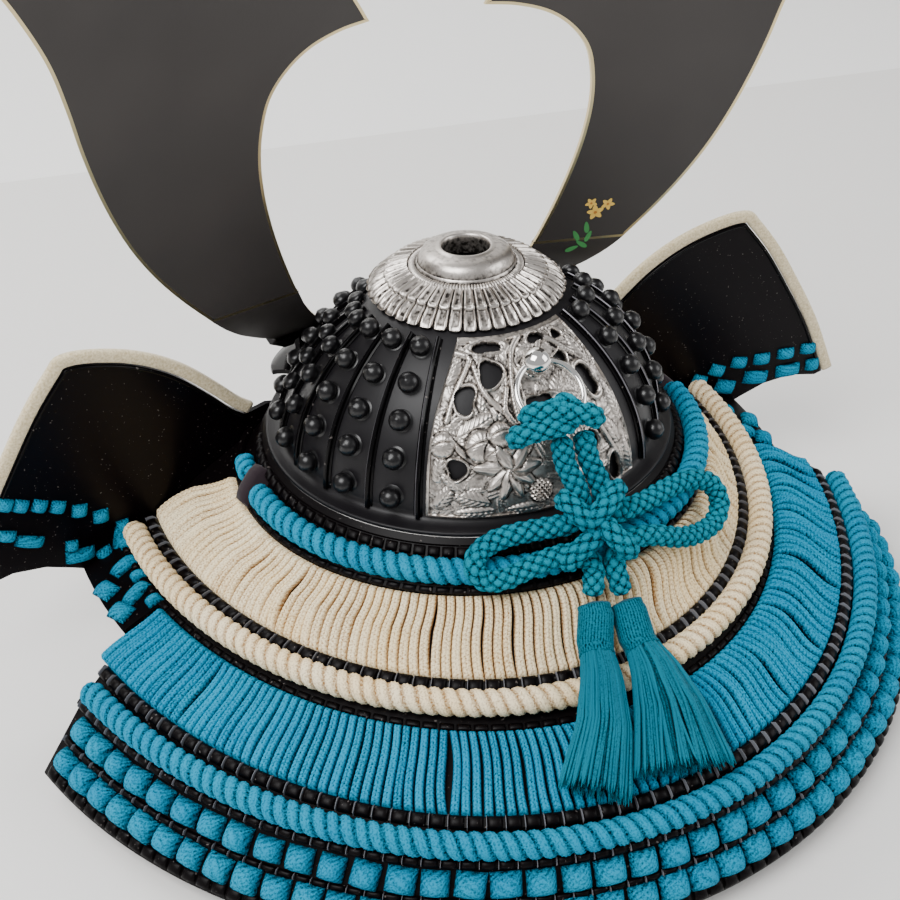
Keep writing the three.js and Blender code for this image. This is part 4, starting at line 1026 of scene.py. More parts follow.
def ring_and_stud():
    ball = bowl_point(STUD_ANGLE, RING_STUD_Z, RING_STUD_LIFT)
    out = unit(bowl_point(STUD_ANGLE, RING_STUD_Z, 6.0) - ball)
    profile = [(0, RING_STUD_RADIUS)] + [
        (RING_STUD_RADIUS * math.sin(a), RING_STUD_RADIUS * math.cos(a))
        for a in np.radians([8, 20, 35, 50, 65, 80, 95, 110, 125])]
    profile += [(2.9, -2.6), (2.75, -3.0), (3.3, -3.05), (3.4, -3.3)]
    heap = Heap()
    heap.grid(placed(turned(profile, 40), ball, out), wrap_rows=True)
    heap.piece("ring_stud_ball", [BRIGHT_SILVER], replaces=["ring_stud"])
    swing = math.radians(RING_SWING)
    aside = polar(STUD_ANGLE + 90, 1.0, 0.0)
    down = np.cross(out, aside)
    down = down * np.sign(-down[2])
    centre = ball + RING_RADIUS * (down * math.cos(swing) - aside * math.sin(swing))
    a = np.linspace(0, 2 * math.pi, 97)[:-1][:, None, None]
    b = np.linspace(0, 2 * math.pi, 17)[:-1][None, :, None]
    spoke = np.cos(a) * down + np.sin(a) * aside
    wire = centre + spoke * (RING_RADIUS + RING_WIRE * np.cos(b)) + out * RING_WIRE * np.sin(b)
    heap = Heap()
    heap.grid(wire, wrap_rows=True, wrap_columns=True)
    heap.piece("ring_wire", [BRIGHT_SILVER], replaces=["cord_ring"])


ring_and_stud()

# %% [markdown]
# ## Neck guard
# The guard is a skirt of lacquered plates in two tiers. Seen from above each row is a part of an
# ellipse, so the whole surface follows from five ellipses with a smooth curve between them.
# `guard` gives the point at a turn round the helmet, a row number and a lift off the surface.

# %% Guard surface
SIDES = ("left", 1), ("right", -1)
ROWS = np.array([  # half width, half depth, centre y, height
    (63.5, 63.5, 0, -1.5), (74, 74, 0, -11.5), (96.4, 117.1, -29.5, -31.3),
    (131.2, 160.8, -37.4, -45.4), (156.1, 175.4, -33.8, -70.3),
])
SEAT_DEPTH, PLATE_WALL, GAP = 2.4, 1.6, 0.35
LOWER_TIER_FRONT, UPPER_CORNER_FRONT = 71.0, 73.5
WING_PLANE = unit([0.152, -0.986, 0.066])
WING_OFFSET = 44.9


def row_at(k):
    """A row's ellipse, on a smooth curve through the five named ones."""
    k = np.asarray(k, dtype=float)
    i = np.clip(np.floor(k).astype(int), 0, len(ROWS) - 2)
    u = (k - i)[..., None]
    p1, p2 = ROWS[i], ROWS[i + 1]
    p0 = np.where((i > 0)[..., None], ROWS[np.maximum(i - 1, 0)], 2 * p1 - p2)
    p3 = np.where((i < len(ROWS) - 2)[..., None], ROWS[np.minimum(i + 2, len(ROWS) - 1)], 2 * p2 - p1)
    return 0.5 * (2 * p1 + (p2 - p0) * u + (2 * p0 - 5 * p1 + 4 * p2 - p3) * u ** 2
                  + (3 * p1 - p0 - 3 * p2 + p3) * u ** 3)


def skin(turn, k):
    row = row_at(k)
    t = np.radians(turn)
    return np.stack([row[..., 0] * np.sin(t), row[..., 2] + row[..., 1] * np.cos(t), row[..., 3]], axis=-1)


def guard_axes(turn, k):
    turn, k = np.broadcast_arrays(np.asarray(turn, dtype=float), np.asarray(k, dtype=float))
    along = skin(turn + 0.5, k) - skin(turn - 0.5, k)
    down = skin(turn, k + 0.02) - skin(turn, k - 0.02)
    return skin(turn, k), unit(along), unit(down), unit(np.cross(along, down))


def guard(turn, k, lift):
    turn, k, lift = np.broadcast_arrays(*(np.asarray(v, dtype=float) for v in (turn, k, lift)))
    at, _, _, out = guard_axes(turn, k)
    return at + out * lift[..., None]


def wing_turn(k, lift, clear):
    """The turn where a row meets the wing's plane, less a clearance, by halving."""
    low, high = 60.0, 150.0
    for _ in range(26):
        middle = (low + high) / 2
        if guard(middle, k, lift) @ WING_PLANE > WING_OFFSET - clear:
            high = middle
        else:
            low = middle
    return low


LACE_FRONT = ([0, 0.5, 1, 1.5, 2, 2.3, 2.7], [112, 103, 102, 98.5, 93, 89.5, 86])


def upper_front(k, lift=0.0):
    return min(float(np.interp(k, *LACE_FRONT)), wing_turn(k, lift, GAP))


def front_of(k):
    return LOWER_TIER_FRONT if k > 2.36 else upper_front(k)


def even_turns(k, front, spacing, start=0.0):
    """Turns that are an even spacing apart along a row, from front to front, and half a step in."""
    t = np.linspace(-front, front, 400)
    line = skin(t, np.full_like(t, k))
    run = run_along(line)
    count = max(1, int(run[-1] / spacing))
    at = (np.arange(count) + 0.5 + start) / (count + start) * run[-1]
    return np.interp(at, run, t)


# %% [markdown]
# ### Guard plates
# Each tier is a closed band between two rows, with standing ridges where the scale heads sit. The
# upper tier's ends reach further down at the wings, as two corner pieces.

# %% Guard plates
def band(heap, section, front, steps=180):
    """A closed band round the guard over a section of row number and lift."""
    share = np.linspace(-1, 1, steps + 1)
    k = np.array([p[0] for p in section])
    lift = np.array([p[1] for p in section])
    limit = np.array([front(*p) for p in section])
    heap.grid(guard(share[:, None] * limit[None, :], k[None, :], lift[None, :]), caps=True, wrap_columns=True)


def ridge(start, end, height):
    """A standing ridge between two rows, with its upper corners rounded off."""
    wall, round_off = 0.004, 0.01
    return [(start, -SEAT_DEPTH), (start + wall, height - 0.3), (start + round_off, height),
            (end - round_off, height), (end - wall, height - 0.3), (end, -SEAT_DEPTH)]


under = -SEAT_DEPTH - PLATE_WALL
heap = Heap()
top = [(-0.13, -SEAT_DEPTH), (-0.13, -0.6), (0.0, -0.5), (0.03, -0.9), (0.26, -0.9), (0.27, -SEAT_DEPTH),
       *ridge(0.84, 0.95, -0.8), (1.46, -SEAT_DEPTH), *ridge(1.955, 2.045, -0.9), (2.352, -SEAT_DEPTH)]
band(heap, top + [(k, under) for k in (2.352, 2, 1.46, 0.9, -0.13)], lambda k, lift: wing_turn(k, lift, GAP))
corner = [*((k, -SEAT_DEPTH) for k in (2.3, 2.5, 2.68)), *((k, under) for k in (2.68, 2.5, 2.3))]
for side in (-1, 1):
    ends = np.array([wing_turn(k, lift, GAP) for k, lift in corner])
    t = np.linspace(UPPER_CORNER_FRONT, ends, 14)
    k, lift = np.array(corner).T
    heap.grid(guard(side * t, k[None, :], lift[None, :]), caps=True, wrap_columns=True)
heap.piece("guard_plate_upper", [SCALE_LACQUER], replaces=["neck_plate_upper"], sharp=35)

heap = Heap()
band(heap, [(2.37, -SEAT_DEPTH), (2.66, -SEAT_DEPTH), *ridge(2.95, 3.05, -0.9), *ridge(3.3, 3.36, -0.9),
            (3.67, -SEAT_DEPTH), (3.985, -SEAT_DEPTH), (4.0, -2.8), (4.0, under + 0.4), (3.985, under),
            (3, under), (2.37, under)], lambda k, lift: LOWER_TIER_FRONT)
heap.piece("guard_plate_lower", [SCALE_LACQUER], replaces=["neck_plate_lower"], sharp=35)

# %% [markdown]
# ### Scale heads
# Each plate is made of narrow scales, and their rounded black heads stand in a row wherever a
# plate's edge shows between the lacing. A thin pale thread passes between each pair. A head is a
# small rounded block. All of a row's heads and threads lie in one mesh each.

# %% Scale heads
def rounded_block(width, length, height, power=3.2, across=8, along=7):
    """A cushion-shaped block, width along x, length along y, height up z, open underneath."""
    x = np.sin(np.linspace(-math.pi / 2, math.pi / 2, across))[:, None]
    y = np.sin(np.linspace(-math.pi / 2, math.pi / 2, along))[None, :]
    z = (np.clip(1 - np.abs(x) ** power, 0, 1) * np.clip(1 - np.abs(y) ** power, 0, 1)) ** (1 / power)
    return np.stack(np.broadcast_arrays(x * width / 2, y * length / 2, z * height), axis=-1), z


def on_guard(points, turn, k, lift, spin=0.0):
    """Points drawn with x along the row, y down the guard and z outwards, set on the guard."""
    at, along, down, out = guard_axes(turn, k)
    c, s = math.cos(spin), math.sin(spin)
    side = along * c + down * s
    low = down * c - along * s
    return at + out * lift + points @ np.array([side, low, out])


SCALE_ROWS = [  # row, pitch, head length down the guard, head height, foot lift
    (0.145, 4.0, 3.0, 1.3, -1.0), (0.895, 4.6, 1.9, 1.2, -1.2), (2.0, 4.9, 4.0, 1.9, -1.3),
    (2.315, 4.6, 2.0, 0.9, -2.3), (3.0, 4.9, 3.6, 1.8, -1.3), (3.33, 4.9, 2.4, 1.5, -1.5),
    (3.645, 4.9, 1.8, 1.2, -2.2), (3.93, 4.9, 3.6, 1.4, -2.4),
]
heads, threads = Heap(), Heap()
for k, pitch, length, height, foot in SCALE_ROWS:
    front = front_of(k) - 0.6
    turns = even_turns(k, front, pitch)
    block, tone = rounded_block(pitch * 0.86, length, height)
    strip, _ = rounded_block(0.18, length * 1.1, height * 0.95, across=4, along=5)
    gap = (turns[1] - turns[0]) / 2
    for turn in turns:
        heads.grid(on_guard(block, turn, k, foot), tone)
        if k > 1.5 and k not in (2.315, 3.93):
            threads.grid(on_guard(strip, turn + gap, k, foot + 0.2))
heads.piece("scale_heads", [SCALE_LACQUER], sharp=60)
threads.piece("scale_threads", [PALE_THREAD], sharp=60)

# %% [markdown]
# ### Lacing
# The lacing is flat silk braid, each strip a little under 3 mm wide with threads that run in a V
# from its middle to its edges. The strips hang side by side in small groups, and they bow a
# little, more on one side of the guard than on the other. A strip's skin has nine points across and
# about three rows for each thread, and the height dips between threads and in the middle.

# %% Lacing
LACE_SPACING, LACE_ROW, LACE_THREAD = 2.75, 0.42, 1.2
LOOSENESS = [-90, -40, 0, 30, 90], [1.0, 1.0, 0.25, 0.1, 0.25]     # at a turn round the guard


def lacing(name, start, end, node, material, seed, front):
    rng = np.random.default_rng(seed)
    middle = (start + end) / 2
    turns = even_turns(middle, front(middle), LACE_SPACING)
    reach = float(np.linalg.norm(skin(0.0, start) - skin(0.0, end)))
    v = np.linspace(0, 1, int(reach / LACE_ROW))
    bow, wave = np.sin(np.pi * v), np.sin(2 * np.pi * v)
    x = np.linspace(-1, 1, 9)
    heap = Heap()
    group, left, size = 0.0, 0, 4
    step = turns[1] - turns[0]
    for n, turn in enumerate(turns):
        if left == 0:
            size = int(rng.integers(3, 6))
            left = size
            group = np.clip(rng.normal(0, 0.4), -0.8, 0.8)
            pull = rng.uniform(0.0, 0.07)
        place = (size - left) - (size - 1) / 2
        left -= 1
        loose = np.interp(turn, *LOOSENESS)
        sag = loose * (1 + 0.25 * group) * (0.95 * bow + 0.75 * wave)
        sway = step * (-sag - pull * place * bow + group * bow * (0.25 + 0.5 * loose)
                       + rng.normal(0, 0.04 + 0.16 * loose) * bow)
        limit = np.array([front(k) for k in (start, middle, end)])
        share = turn / limit[1]
        at = share * np.interp(v, [0, 0.5, 1], limit) + sway
        k = start + (end - start) * v
        base_at, along, _, out = guard_axes(at, k)
        width = np.linalg.norm(skin(at + step / 2, k) - skin(at - step / 2, k), axis=-1)
        width = width * (0.53 - 0.06 * loose)
        chevron = (v[:, None] * reach / LACE_THREAD - 0.7 * np.abs(x)[None, :] + (0.5 * (x > 0))[None, :]) % 1
        thread = np.sin(np.pi * chevron) ** 0.7
        dome = np.sqrt(np.clip(1 - np.abs(x[None, :]) ** 3, 0, 1))
        groove = np.exp(-(x[None, :] / 0.16) ** 2)
        ends = np.sqrt(np.clip(np.minimum(1, np.minimum(v, 1 - v) / 0.05), 0.05, 1))[:, None]
        lift = (-2.2 + 2.25 * dome * ends + 0.3 * (thread - 0.5) * dome - 0.3 * groove
                + 0.35 * bow[:, None] + rng.normal(0, 0.12 + 0.45 * loose) * bow[:, None])
        points = base_at[:, None] + along[:, None] * (x[None, :, None] * width[:, None, None]) \
            + out[:, None] * lift[..., None]
        # the tone is painted shade: darker between threads, towards the strip's edges and in its middle
        # groove
        tone = np.clip((0.35 + 0.65 * thread) * (0.1 + 0.9 * dome) - 0.3 * groove + rng.normal(0, 0.05), 0, 1)
        heap.grid(points, tone)
    heap.piece(name, [material], replaces=[node], sharp=180)


lacing("lacing_cream_braids", 0.975, 1.95, "lacing_cream", CREAM_BRAID, 3, upper_front)
lacing("lacing_teal_braids", 2.345, 2.945, "lacing_teal", TEAL_BRAID, 4,
       lambda k: LOWER_TIER_FRONT + 1.4)

# %% [markdown]
# ### Ropes
# Between the fields runs a thick rope, sewn down along the plate's edge. It is laid from soft
# strands, so its surface is a helix of round ridges, each with fine threads that run along it.

# %% Ropes
ROPE_STRANDS, ROPE_PITCH = 2, 7.6
ROPE_AROUND = 42     # points round a rope


def rope(name, k, front, radius, node, material, seed):
    t = np.linspace(-front, front, 900)
    line = even(guard(t, np.full_like(t, k), np.full_like(t, -SEAT_DEPTH + GAP + radius)), 0.52)

    # the height gives both the rope's ridges and its painted shade between the strands
    def relief(turn, run):
        phase = ROPE_STRANDS * (turn - run / ROPE_PITCH + 0.012 * np.sin(run * 0.7 + seed))
        ridge_height = np.abs(np.cos(np.pi * phase)) ** 0.6
        yarn = 0.5 + 0.5 * np.cos(2 * np.pi * phase * 4 + 0.6 * np.sin(run))
        return np.clip(ridge_height * 0.66 + 0.34 * yarn * (0.4 + 0.6 * ridge_height), 0, 1)

    tubes_piece(name, [tube(line, radius + 0.55, relief, 1.15, around=ROPE_AROUND, taper=3.0)], [material],
                replaces=[node], sharp=180)


rope("rope_below_rim", 0.56, 88, 3.3, "rope_top", TEAL_ROPE, 1)
rope("rope_cream_sewn", 2.165, wing_turn(2.16, 6.6, 1.0), 3.4, "rope_cream", CREAM_ROPE, 2)
rope("rope_teal_sewn", 3.175, LOWER_TIER_FRONT - 1, 3.3, "rope_teal", TEAL_ROPE, 3)

# %% [markdown]
# ### Knots
# Above the bottom edge sit two rows of knots, offset by half a step. Each is a flat pad of silk
# threads wound at a slant, with rounded corners.

# %% Knots
PAD_THREAD = 1.05


def pad(rng, width, length, height):
    """A rounded pad of slanting threads."""
    points, dome = rounded_block(width, length, height, power=2.2, across=16, along=15)
    slant = rng.uniform(0.75, 1.1)
    across = points[..., 0] + slant * points[..., 1]
    thread = 0.5 + 0.5 * np.cos(across * 2 * np.pi / PAD_THREAD + rng.uniform(0, 6))
    points[..., 2] += 0.28 * (thread - 0.5) * dome
    # the tone is painted shade: darker towards the pad's rounded edges and between its threads
    return points, np.clip(0.08 + 0.45 * dome + 0.45 * thread, 0, 1)


KNOT_PITCH, KNOT_WIDTH, KNOT_LENGTH, KNOT_HEIGHT = 9.0, 7.9, 6.9, 4.4


def knot_row(name, k, shift, node, seed):
    rng = np.random.default_rng(seed)
    heap = Heap()
    for turn in even_turns(k, LOWER_TIER_FRONT - 1.0, KNOT_PITCH, shift):
        points, tone = pad(rng, KNOT_WIDTH + rng.normal(0, 0.35), KNOT_LENGTH + rng.normal(0, 0.35),
                           KNOT_HEIGHT + rng.normal(0, 0.25))
        place = turn + rng.normal(0, 0.05)
        heap.grid(on_guard(points, place, k, -SEAT_DEPTH + 0.2, rng.normal(0, 0.08)), tone)
    heap.piece(name, [TEAL_ROPE], replaces=[node], sharp=180)


knot_row("knot_pads_upper", 3.5, 0.0, "knots_upper", 21)
knot_row("knot_pads_lower", 3.78, 0.5, "knots_lower", 22)

# %% [markdown]
# ### Corners of the upper tier
# Where the upper plate ends at the wing, its corner carries two pads and a few long knots. Below
# the rim a suede tab covers the rope's end, and a second short rope shows beyond the tab.

# %% Corners of the upper tier
CORNER_KNOTS = [  # turn, row, width, length, turn of the pad in degrees
    (81, 2.6, 7.4, 6.2, 20), (76.2, 2.6, 7.4, 6.2, 20), (83.6, 2.38, 4.4, 9.6, 22),
    (77.6, 2.42, 4.4, 9.6, 22), (88, 2.3, 4.2, 4, 0), (80.4, 2.33, 3.6, 5, 0), (74.6, 2.35, 3.6, 5, 0),
]


def rope_end_relief(turn, run):
    return np.abs(np.cos(np.pi * ROPE_STRANDS * (turn - run / ROPE_PITCH))) ** 0.6


rng = np.random.default_rng(23)
for which, side in SIDES:
    heap = Heap()
    for turn, k, width, length, spin in CORNER_KNOTS:
        points, tone = pad(rng, width, length, 2.6)
        heap.grid(on_guard(points, side * turn, k, -SEAT_DEPTH + 0.2, side * math.radians(spin)), tone)
    heap.piece(f"corner_knots_{which}", [TEAL_ROPE], sharp=180)
    heap = Heap()
    tab, tone = rounded_block(6.4, 13, 5.6, power=4)
    heap.grid(on_guard(tab, side * 92.5, 0.62, -SEAT_DEPTH, side * 0.3), tone)
    heap.piece(f"suede_tab_{which}", [TAB_SUEDE], sharp=60)
    t = side * np.linspace(96, 105, 40)
    line = even(guard(t, np.linspace(0.6, 0.66, 40), np.full_like(t, 0.6)), 0.42)
    tubes_piece(f"rope_end_{which}", [tube(line, 3.1, rope_end_relief, 1.1, around=ROPE_AROUND)],
                [TEAL_ROPE], sharp=180)

# %% [markdown]
# ## Wings
# The guard's front ends are turned back into wings: flat lacquered leaves with a suede edging
# round the free edge and two rows of teal knots near the foot. A wing is drawn as a smooth
# outline on its plane, given a thickness, and mirrored for the other side.

# %% Wings
WING_EDGE = [
    (58, -1.6), (62, 1.8), (67.6, 8.3), (78.4, 19.6), (89, 27.2), (99.6, 32), (111, 34.8), (116, 34.2),
    (119, 31), (127, 21), (136, 7), (147, -12), (157, -34),
]
WING_FOOT = [(154, -37), (144, -35.5), (134, -37.5), (126, -41.5)]
WING_ROOT = (53.5, -3.4)
EDGING_WIDTH, EDGING_THICK, WING_THICK = 4.0, 2.8, 1.6


def on_plane(normal, offset, x, z):
    return (offset - normal[0] * x - normal[2] * z) / normal[1]


def plane_points(flat, normal, offset, side):
    flat = np.asarray(flat, dtype=float)
    points = np.stack([flat[:, 0], on_plane(normal, offset, flat[:, 0], flat[:, 1]), flat[:, 1]], axis=-1)
    return points * np.array([side, 1, 1])


def smooth_flat(flat, step):
    return smooth_route([(x, 0, z) for x, z in flat], step)[:, [0, 2]]


def inset(flat, distance):
    along = np.gradient(flat, axis=0)
    along /= np.linalg.norm(along, axis=1, keepdims=True)
    return flat + np.stack([along[:, 1], -along[:, 0]], axis=1) * distance


def leaf_plate(name, outline, normal, offset, thick, side, materials, **settings):
    """A flat plate over an outline, with a face each side and a wall between."""
    front = plane_points(outline, normal, offset, side)
    back_face = front + normal * np.array([side, 1, 1]) * thick
    count = len(front)
    faces = [list(range(count)), list(range(2 * count - 1, count - 1, -1))]
    faces += [[i, (i + 1) % count, count + (i + 1) % count, count + i] for i in range(count)]
    piece(name, np.vstack([front, back_face]), faces, materials, sharp=30, **settings)


def fold_line():
    """Where the guard's inner face meets the wing, from its foot to its top."""
    lift = -SEAT_DEPTH - PLATE_WALL
    return [tuple(guard(wing_turn(k, lift, GAP), k, lift)[[0, 2]])
            for k in (2.66, 2.3, 2, 1.6, 1.2, 0.8, 0.4, 0.1)]


# place on the wing's plane (x, z), width, length, turn in degrees
WING_KNOTS = {
    "left": [
        (142.6, -8.2, 4.6, 4.2, 30), (138.2, -9.2, 4.6, 4.2, 30), (133.9, -11.4, 4.6, 4.2, 30),
        (128.6, -13.6, 4.6, 4.2, 30), (123.4, -16.2, 4.6, 4.2, 26), (117.3, -20.2, 4.8, 4.4, 14),
        (111.2, -25, 5, 4.6, 4), (105, -31.6, 4.2, 4.4, 0), (146.6, -18.6, 7.6, 3.8, 16),
        (139.6, -20.6, 5.4, 3.6, 24), (133.6, -25.4, 9, 3.8, 26), (119.6, -37.2, 9.4, 4.6, 6),
        (121.6, -32.4, 4, 3.6, 10), (111.6, -41.6, 5.4, 8, -16), (106.4, -36.2, 4.6, 9.5, 14),
    ],
    "right": [
        (104.7, -31.8, 5.6, 4.6, -20), (111, -28.4, 5.6, 4.6, -20), (119.2, -26.3, 5.8, 4.4, -8),
        (127.9, -26.2, 6.2, 4.4, 0), (137.0, -25.4, 6.4, 4.2, 0), (145.6, -24.6, 5.8, 4.2, 0),
        (115, -36.2, 7.6, 5.6, -16), (126.6, -34, 9.4, 5.2, -6), (139, -33, 9.4, 5, 4),
        (148.4, -32, 5, 4.8, 4),
    ],
}


def wing(which, side):
    edge = smooth_flat(WING_EDGE, 1.0)
    lacquer = inset(edge, EDGING_WIDTH + GAP)
    foot = [(x - EDGING_WIDTH * 0.9, z) for x, z in WING_FOOT]
    outline = np.vstack([[WING_ROOT], lacquer, foot, fold_line()])
    leaf_plate(f"wing_leaf_{which}", outline, WING_PLANE, WING_OFFSET, WING_THICK, side, [WING_LACQUER],
               replaces=[f"wing_{which}"])
    # suede edging: a rounded strip folded over the edge
    centre = inset(edge, EDGING_WIDTH / 2)
    across = np.stack([np.gradient(edge, axis=0)[:, 1], -np.gradient(edge, axis=0)[:, 0]], axis=1)
    across /= np.linalg.norm(across, axis=1, keepdims=True)
    a = np.linspace(0, 2 * np.pi, 21)[:-1]
    half_x = EDGING_WIDTH / 2 * np.sign(np.cos(a)) * np.abs(np.cos(a)) ** 0.6
    half_y = EDGING_THICK / 2 * np.sign(np.sin(a)) * np.abs(np.sin(a)) ** 0.6
    flat = centre[:, None] + across[:, None] * half_x[None, :, None]
    mid = WING_OFFSET + WING_THICK / 2
    x, z = flat[..., 0], flat[..., 1]
    points = np.stack([x, on_plane(WING_PLANE, mid, x, z), z], axis=-1)
    points = (points + WING_PLANE * half_y[None, :, None]) * np.array([side, 1, 1])
    heap = Heap()
    heap.grid(points, wrap_columns=True, caps=True)
    heap.piece(f"wing_suede_{which}", [SUEDE], replaces=[f"wing_edging_{which}"], sharp=180)
    # glossy bead along the lacquer's edge, on the rear face
    bead = plane_points(inset(edge, EDGING_WIDTH + 1.1), WING_PLANE, WING_OFFSET - 0.1, side)
    tubes_piece(f"wing_bead_{which}", [plain_tube(even(bead, 1.2), 0.5, 8)], [RIB_LACQUER], sharp=60)
    # rows of knots on the rear face, drawn as pads
    heap = Heap()
    rng = np.random.default_rng(31 if side > 0 else 32)
    for x, z, width, length, turn in WING_KNOTS[which]:
        points, tone = pad(rng, width, length, 2.4)
        out = -WING_PLANE
        slope = np.array([math.cos(math.radians(turn)), 0, math.sin(math.radians(turn))])
        slope = unit(slope - WING_PLANE * slope.dot(WING_PLANE))
        axes = np.array([slope, np.cross(out, slope), out])
        at = np.array([x, on_plane(WING_PLANE, WING_OFFSET, x, z), z])
        heap.grid((points @ axes + at) * np.array([side, 1, 1]), tone)
    heap.piece(f"wing_knots_{which}", [TEAL_ROPE], sharp=180)


for which, side in SIDES:
    wing(which, side)

# %% [markdown]
# ## Visor and horn holder
# Both are lacquered. The visor is a short curved brim that droops in front, thin and closed all
# round. The holder is a bar over it, whose sockets take the horns.

# %% Visor
def visor():
    angle = np.linspace(-42, 42, 97)
    share = np.cos(angle / 42 * (math.pi / 2) * 0.96)
    reach = 3 + 19 * np.sqrt(share)
    radius = RIM_RADIUS + GAP
    section = [  # share of the reach, share of the droop, depth below the top face
        (0, 0, 0), (0.25, 0.1, 0), (0.5, 0.3, 0), (0.75, 0.6, 0), (0.97, 0.97, 0), (1, 1.02, 0.4),
        (1, 1.02, 1.2), (0.97, 1, 1.6), (0.75, 0.6, 1.6), (0.5, 0.3, 1.6), (0.25, 0.1, 1.6), (0, 0, 1.6)]
    grid = [polar(180 + angle, radius + reach * out, RIM_TOP - 5 * reach / 22 * fall - thick)
            for out, fall, thick in section]
    heap = Heap()
    heap.grid(np.stack(grid, axis=1), wrap_columns=True, caps=True)
    heap.piece("visor_brim", [RIB_LACQUER], replaces=["visor"], sharp=40)


visor()

# %% [markdown]
# ### Horn holder
# The bar and its sockets keep the model's own shape, and a thin silver bead lies on the bar's edge.

# %% Horn holder
def carried_over(node, material):
    """A CAD solid whose shape is right keeps its mesh and gets a finish."""
    thing = bpy.data.objects[node]
    thing.data.materials.clear()
    thing.data.materials.append(material)


carried_over("horn_holder", SCALE_LACQUER)
HOLDER_RADIUS, HOLDER_HALF_ANGLE, HOLDER_HEIGHT = 66.0, 33.0, 9.0
angle = np.linspace(-HOLDER_HALF_ANGLE, HOLDER_HALF_ANGLE, 60)
top_z = RIM_TOP + GAP + 0.2 + HOLDER_HEIGHT * (0.62 + 0.38 * np.abs(angle) / HOLDER_HALF_ANGLE)
line = polar(180 + angle, HOLDER_RADIUS + 1.0, top_z + 0.1)
tubes_piece("holder_edge", [plain_tube(even(line, 1.0), 0.6, 10)], [EDGE_SILVER], sharp=60)

# %% [markdown]
# ## Horns
# The horns are sawn from sheet, painted, and their edges left in pale gold. The outline passes
# through the model's points on a smooth curve. The blade lies on one plane, and its stem bends
# down into the socket. The edge is a narrow strip of gold inside the outline.

# %% Horns
HORN_PLANE = unit([0.233, -0.949, 0.211])
HORN_OFFSET, HORN_THICK, HORN_BEND_Z, HORN_BEND = 52.2, 1.2, 33.1, 15.0
GOLD_WIDTH = 0.9
HORN_OUTER = [
    (68.8, 33.1), (77.6, 44.2), (84.8, 54.8), (90.8, 66), (95.4, 77.6), (98.8, 89), (101.4, 100.4),
    (103.4, 112), (106.4, 125), (111.6, 137.7), (118, 150), (127, 168), (133, 186), (134, 203),
]
HORN_INNER = [
    (131, 203), (121, 189), (107, 174), (91, 161), (75, 153), (61, 152), (50, 156), (41, 150),
    (31, 138), (21.4, 124), (17.2, 117), (26.4, 116), (35.8, 113), (43, 107.8), (47.8, 101.4),
    (50.2, 93.4), (51.2, 84), (50.6, 73.4), (48.6, 61.8), (45.4, 49.4), (41, 36), (39.8, 33.1),
]
HORN_STEM = [
    (5.2, 22.6, 36), (10, 26, 43.5), (16, 30.6, 51.6), (22.4, 34.8, 59.3), (28, 37.8, 64.6),
    (33.1, 39.8, 68.8),
]


def horn_outline():
    """The blade's outline, smooth between its three sharp corners."""
    corner = HORN_INNER.index((17.2, 117))
    parts = [smooth_flat(HORN_OUTER, 1.6), smooth_flat(HORN_INNER[:corner + 1], 1.6),
             smooth_flat(HORN_INNER[corner:], 1.6)]
    return np.vstack([parts[0], parts[1], parts[2][1:]])


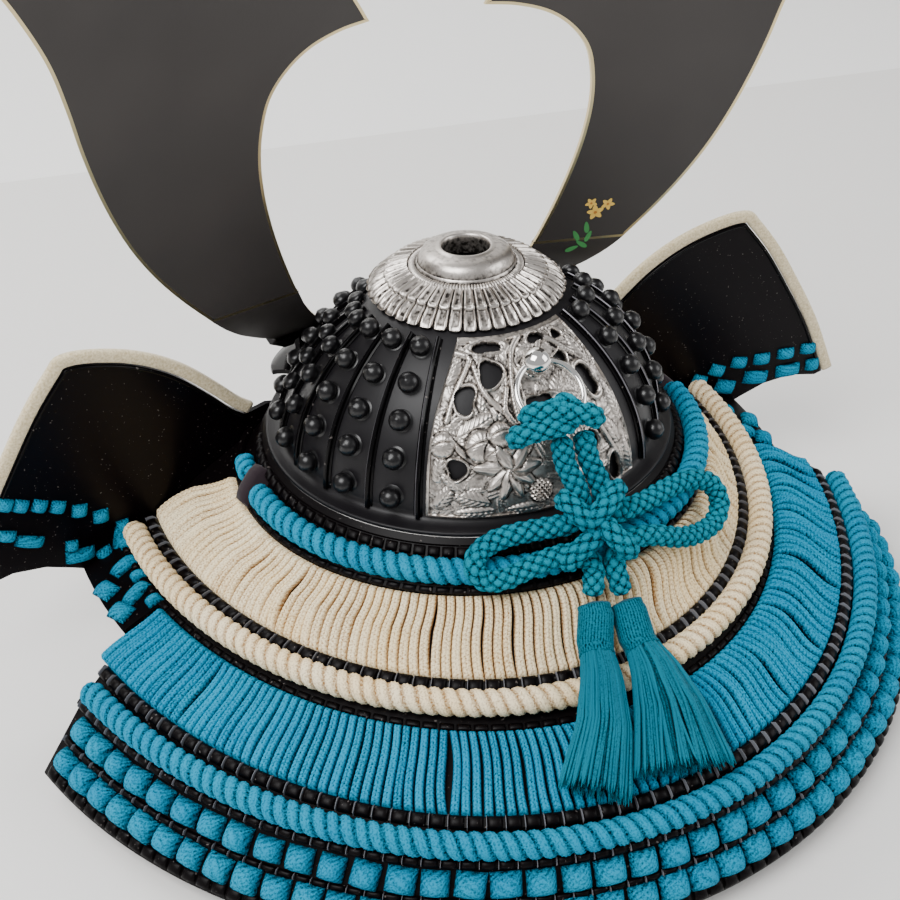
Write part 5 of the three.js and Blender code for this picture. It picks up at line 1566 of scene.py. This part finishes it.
def horn(which, side):
    outline = horn_outline()
    count = len(outline)
    rear = plane_points(outline, HORN_PLANE, HORN_OFFSET, side)
    middle = HORN_THICK / 2
    shift = np.array([0, middle, 0])
    closed = np.vstack([outline[-1:], outline, outline[:1]])
    along = closed[2:] - closed[:-2]
    along /= np.linalg.norm(along, axis=1, keepdims=True)
    inward = -1 if np.sum(outline[:, 0] * np.roll(outline[:, 1], -1)
                          - np.roll(outline[:, 0], -1) * outline[:, 1]) > 0 else 1
    strip = outline + inward * np.stack([along[:, 1], -along[:, 0]], axis=1) * GOLD_WIDTH
    inner = plane_points(strip, HORN_PLANE, HORN_OFFSET, side)
    points = np.vstack([rear + shift, rear - shift, inner + shift, inner - shift])

    def ring(a, b):
        """Quads between two of the four outlines."""
        return [[a * count + i, a * count + (i + 1) % count, b * count + (i + 1) % count, b * count + i]
                for i in range(count)]

    gold = ring(0, 1) + ring(0, 2) + ring(1, 3)
    faces = gold + [[2 * count + i for i in range(count)], [3 * count + i for i in range(count)][::-1]]
    pick = [1] * len(gold) + [0, 0]
    # stem: a strip of rows that bends down and forward into its socket
    rows, columns = 18, 7
    z = np.linspace(HORN_STEM[0][0], HORN_STEM[-1][0], rows)
    inside = np.interp(z, [s[0] for s in HORN_STEM], [s[1] for s in HORN_STEM])
    outside = np.interp(z, [s[0] for s in HORN_STEM], [s[2] for s in HORN_STEM])
    x = inside[:, None] + (outside - inside)[:, None] * np.linspace(0, 1, columns)[None, :]
    zz = np.broadcast_to(z[:, None], x.shape)
    bend = np.clip((HORN_BEND_Z - zz) / (HORN_BEND_Z - HORN_STEM[0][0]), 0, None) ** 1.6
    y = on_plane(HORN_PLANE, HORN_OFFSET, x, zz) - HORN_BEND * bend
    stem = np.concatenate([np.stack([side * x, y + middle, zz], axis=-1),
                           np.stack([side * x, y - middle, zz], axis=-1)[:, ::-1]], axis=1)
    first = len(points)
    stem_faces = grid_faces(rows, 2 * columns, wrap_columns=True, first=first)
    stem_faces.append([first + j for j in range(2 * columns)])
    points = np.vstack([points, stem.reshape(-1, 3)])
    edge_columns = {columns - 1, 2 * columns - 1}
    pick += [1 if (n % (2 * columns)) in edge_columns else 0 for n in range(len(stem_faces) - 1)] + [0]
    piece(f"horn_blade_{which}", points, faces + stem_faces, [HORN_PAINT, EDGE_GOLD],
          replaces=[f"horn_{which}"], pick=pick, sharp=30)


for which, side in SIDES:
    horn(which, side)

# %% [markdown]
# ### Painted sprig
# The sprig is painted by hand: five leaf strokes, then three blossoms of five petals with a darker
# heart. Each stroke is a thin oval patch just above the horn's paint.

# %% Painted sprig
def sprig(side):
    """Three small blossoms over a few leaves, on the rear face of one horn."""
    heap, pick = Heap(), []
    normal = HORN_PLANE * np.array([side, 1, 1])
    across = unit(np.cross(normal, (0, 0, 1)))
    top = unit(np.cross(across, normal))
    if top[2] < 0:
        across, top = -across, -top

    def patch(x, z, radius_a, radius_b, turn, layer, material):
        centre = plane_points([(x, z)], HORN_PLANE, HORN_OFFSET, side)[0]
        centre = centre + np.array([0, HORN_THICK / 2 + 0.1 + layer, 0])
        a = np.linspace(0, 2 * np.pi, 17)[:-1]
        u, v = radius_a * np.cos(a), radius_b * np.sin(a) * (1 - 0.25 * np.cos(a))
        c, s = math.cos(turn), math.sin(turn)
        points = centre + (u * c - v * s)[:, None] * across + (u * s + v * c)[:, None] * top
        heap.add(points, [list(range(16))])
        pick.append(material)

    for x, z, turn in ((55.6, 31.5, 2.5), (52.6, 30, 0.4), (57.4, 34.4, 1.2), (53.4, 35, 2.0),
                       (56.4, 38, 1.7)):
        patch(x, z, 2.3, 0.85, turn, 0.0, 2)
    for x, z, size in ((58.4, 43.6, 1.0), (62, 46.4, 0.8), (56.6, 47.2, 0.72)):
        for petal in range(5):
            a = petal * 2 * math.pi / 5 + size * 3
            patch(x + 1.5 * size * math.cos(a), z + 1.5 * size * math.sin(a), 1.35 * size, 0.85 * size, a,
                  0.05, 0)
        patch(x, z, 0.55 * size, 0.55 * size, 0, 0.1, 1)
    heap.piece("painted_sprig", [PETAL_PAINT, HEART_PAINT, LEAF_PAINT], pick=pick)


sprig(-1)
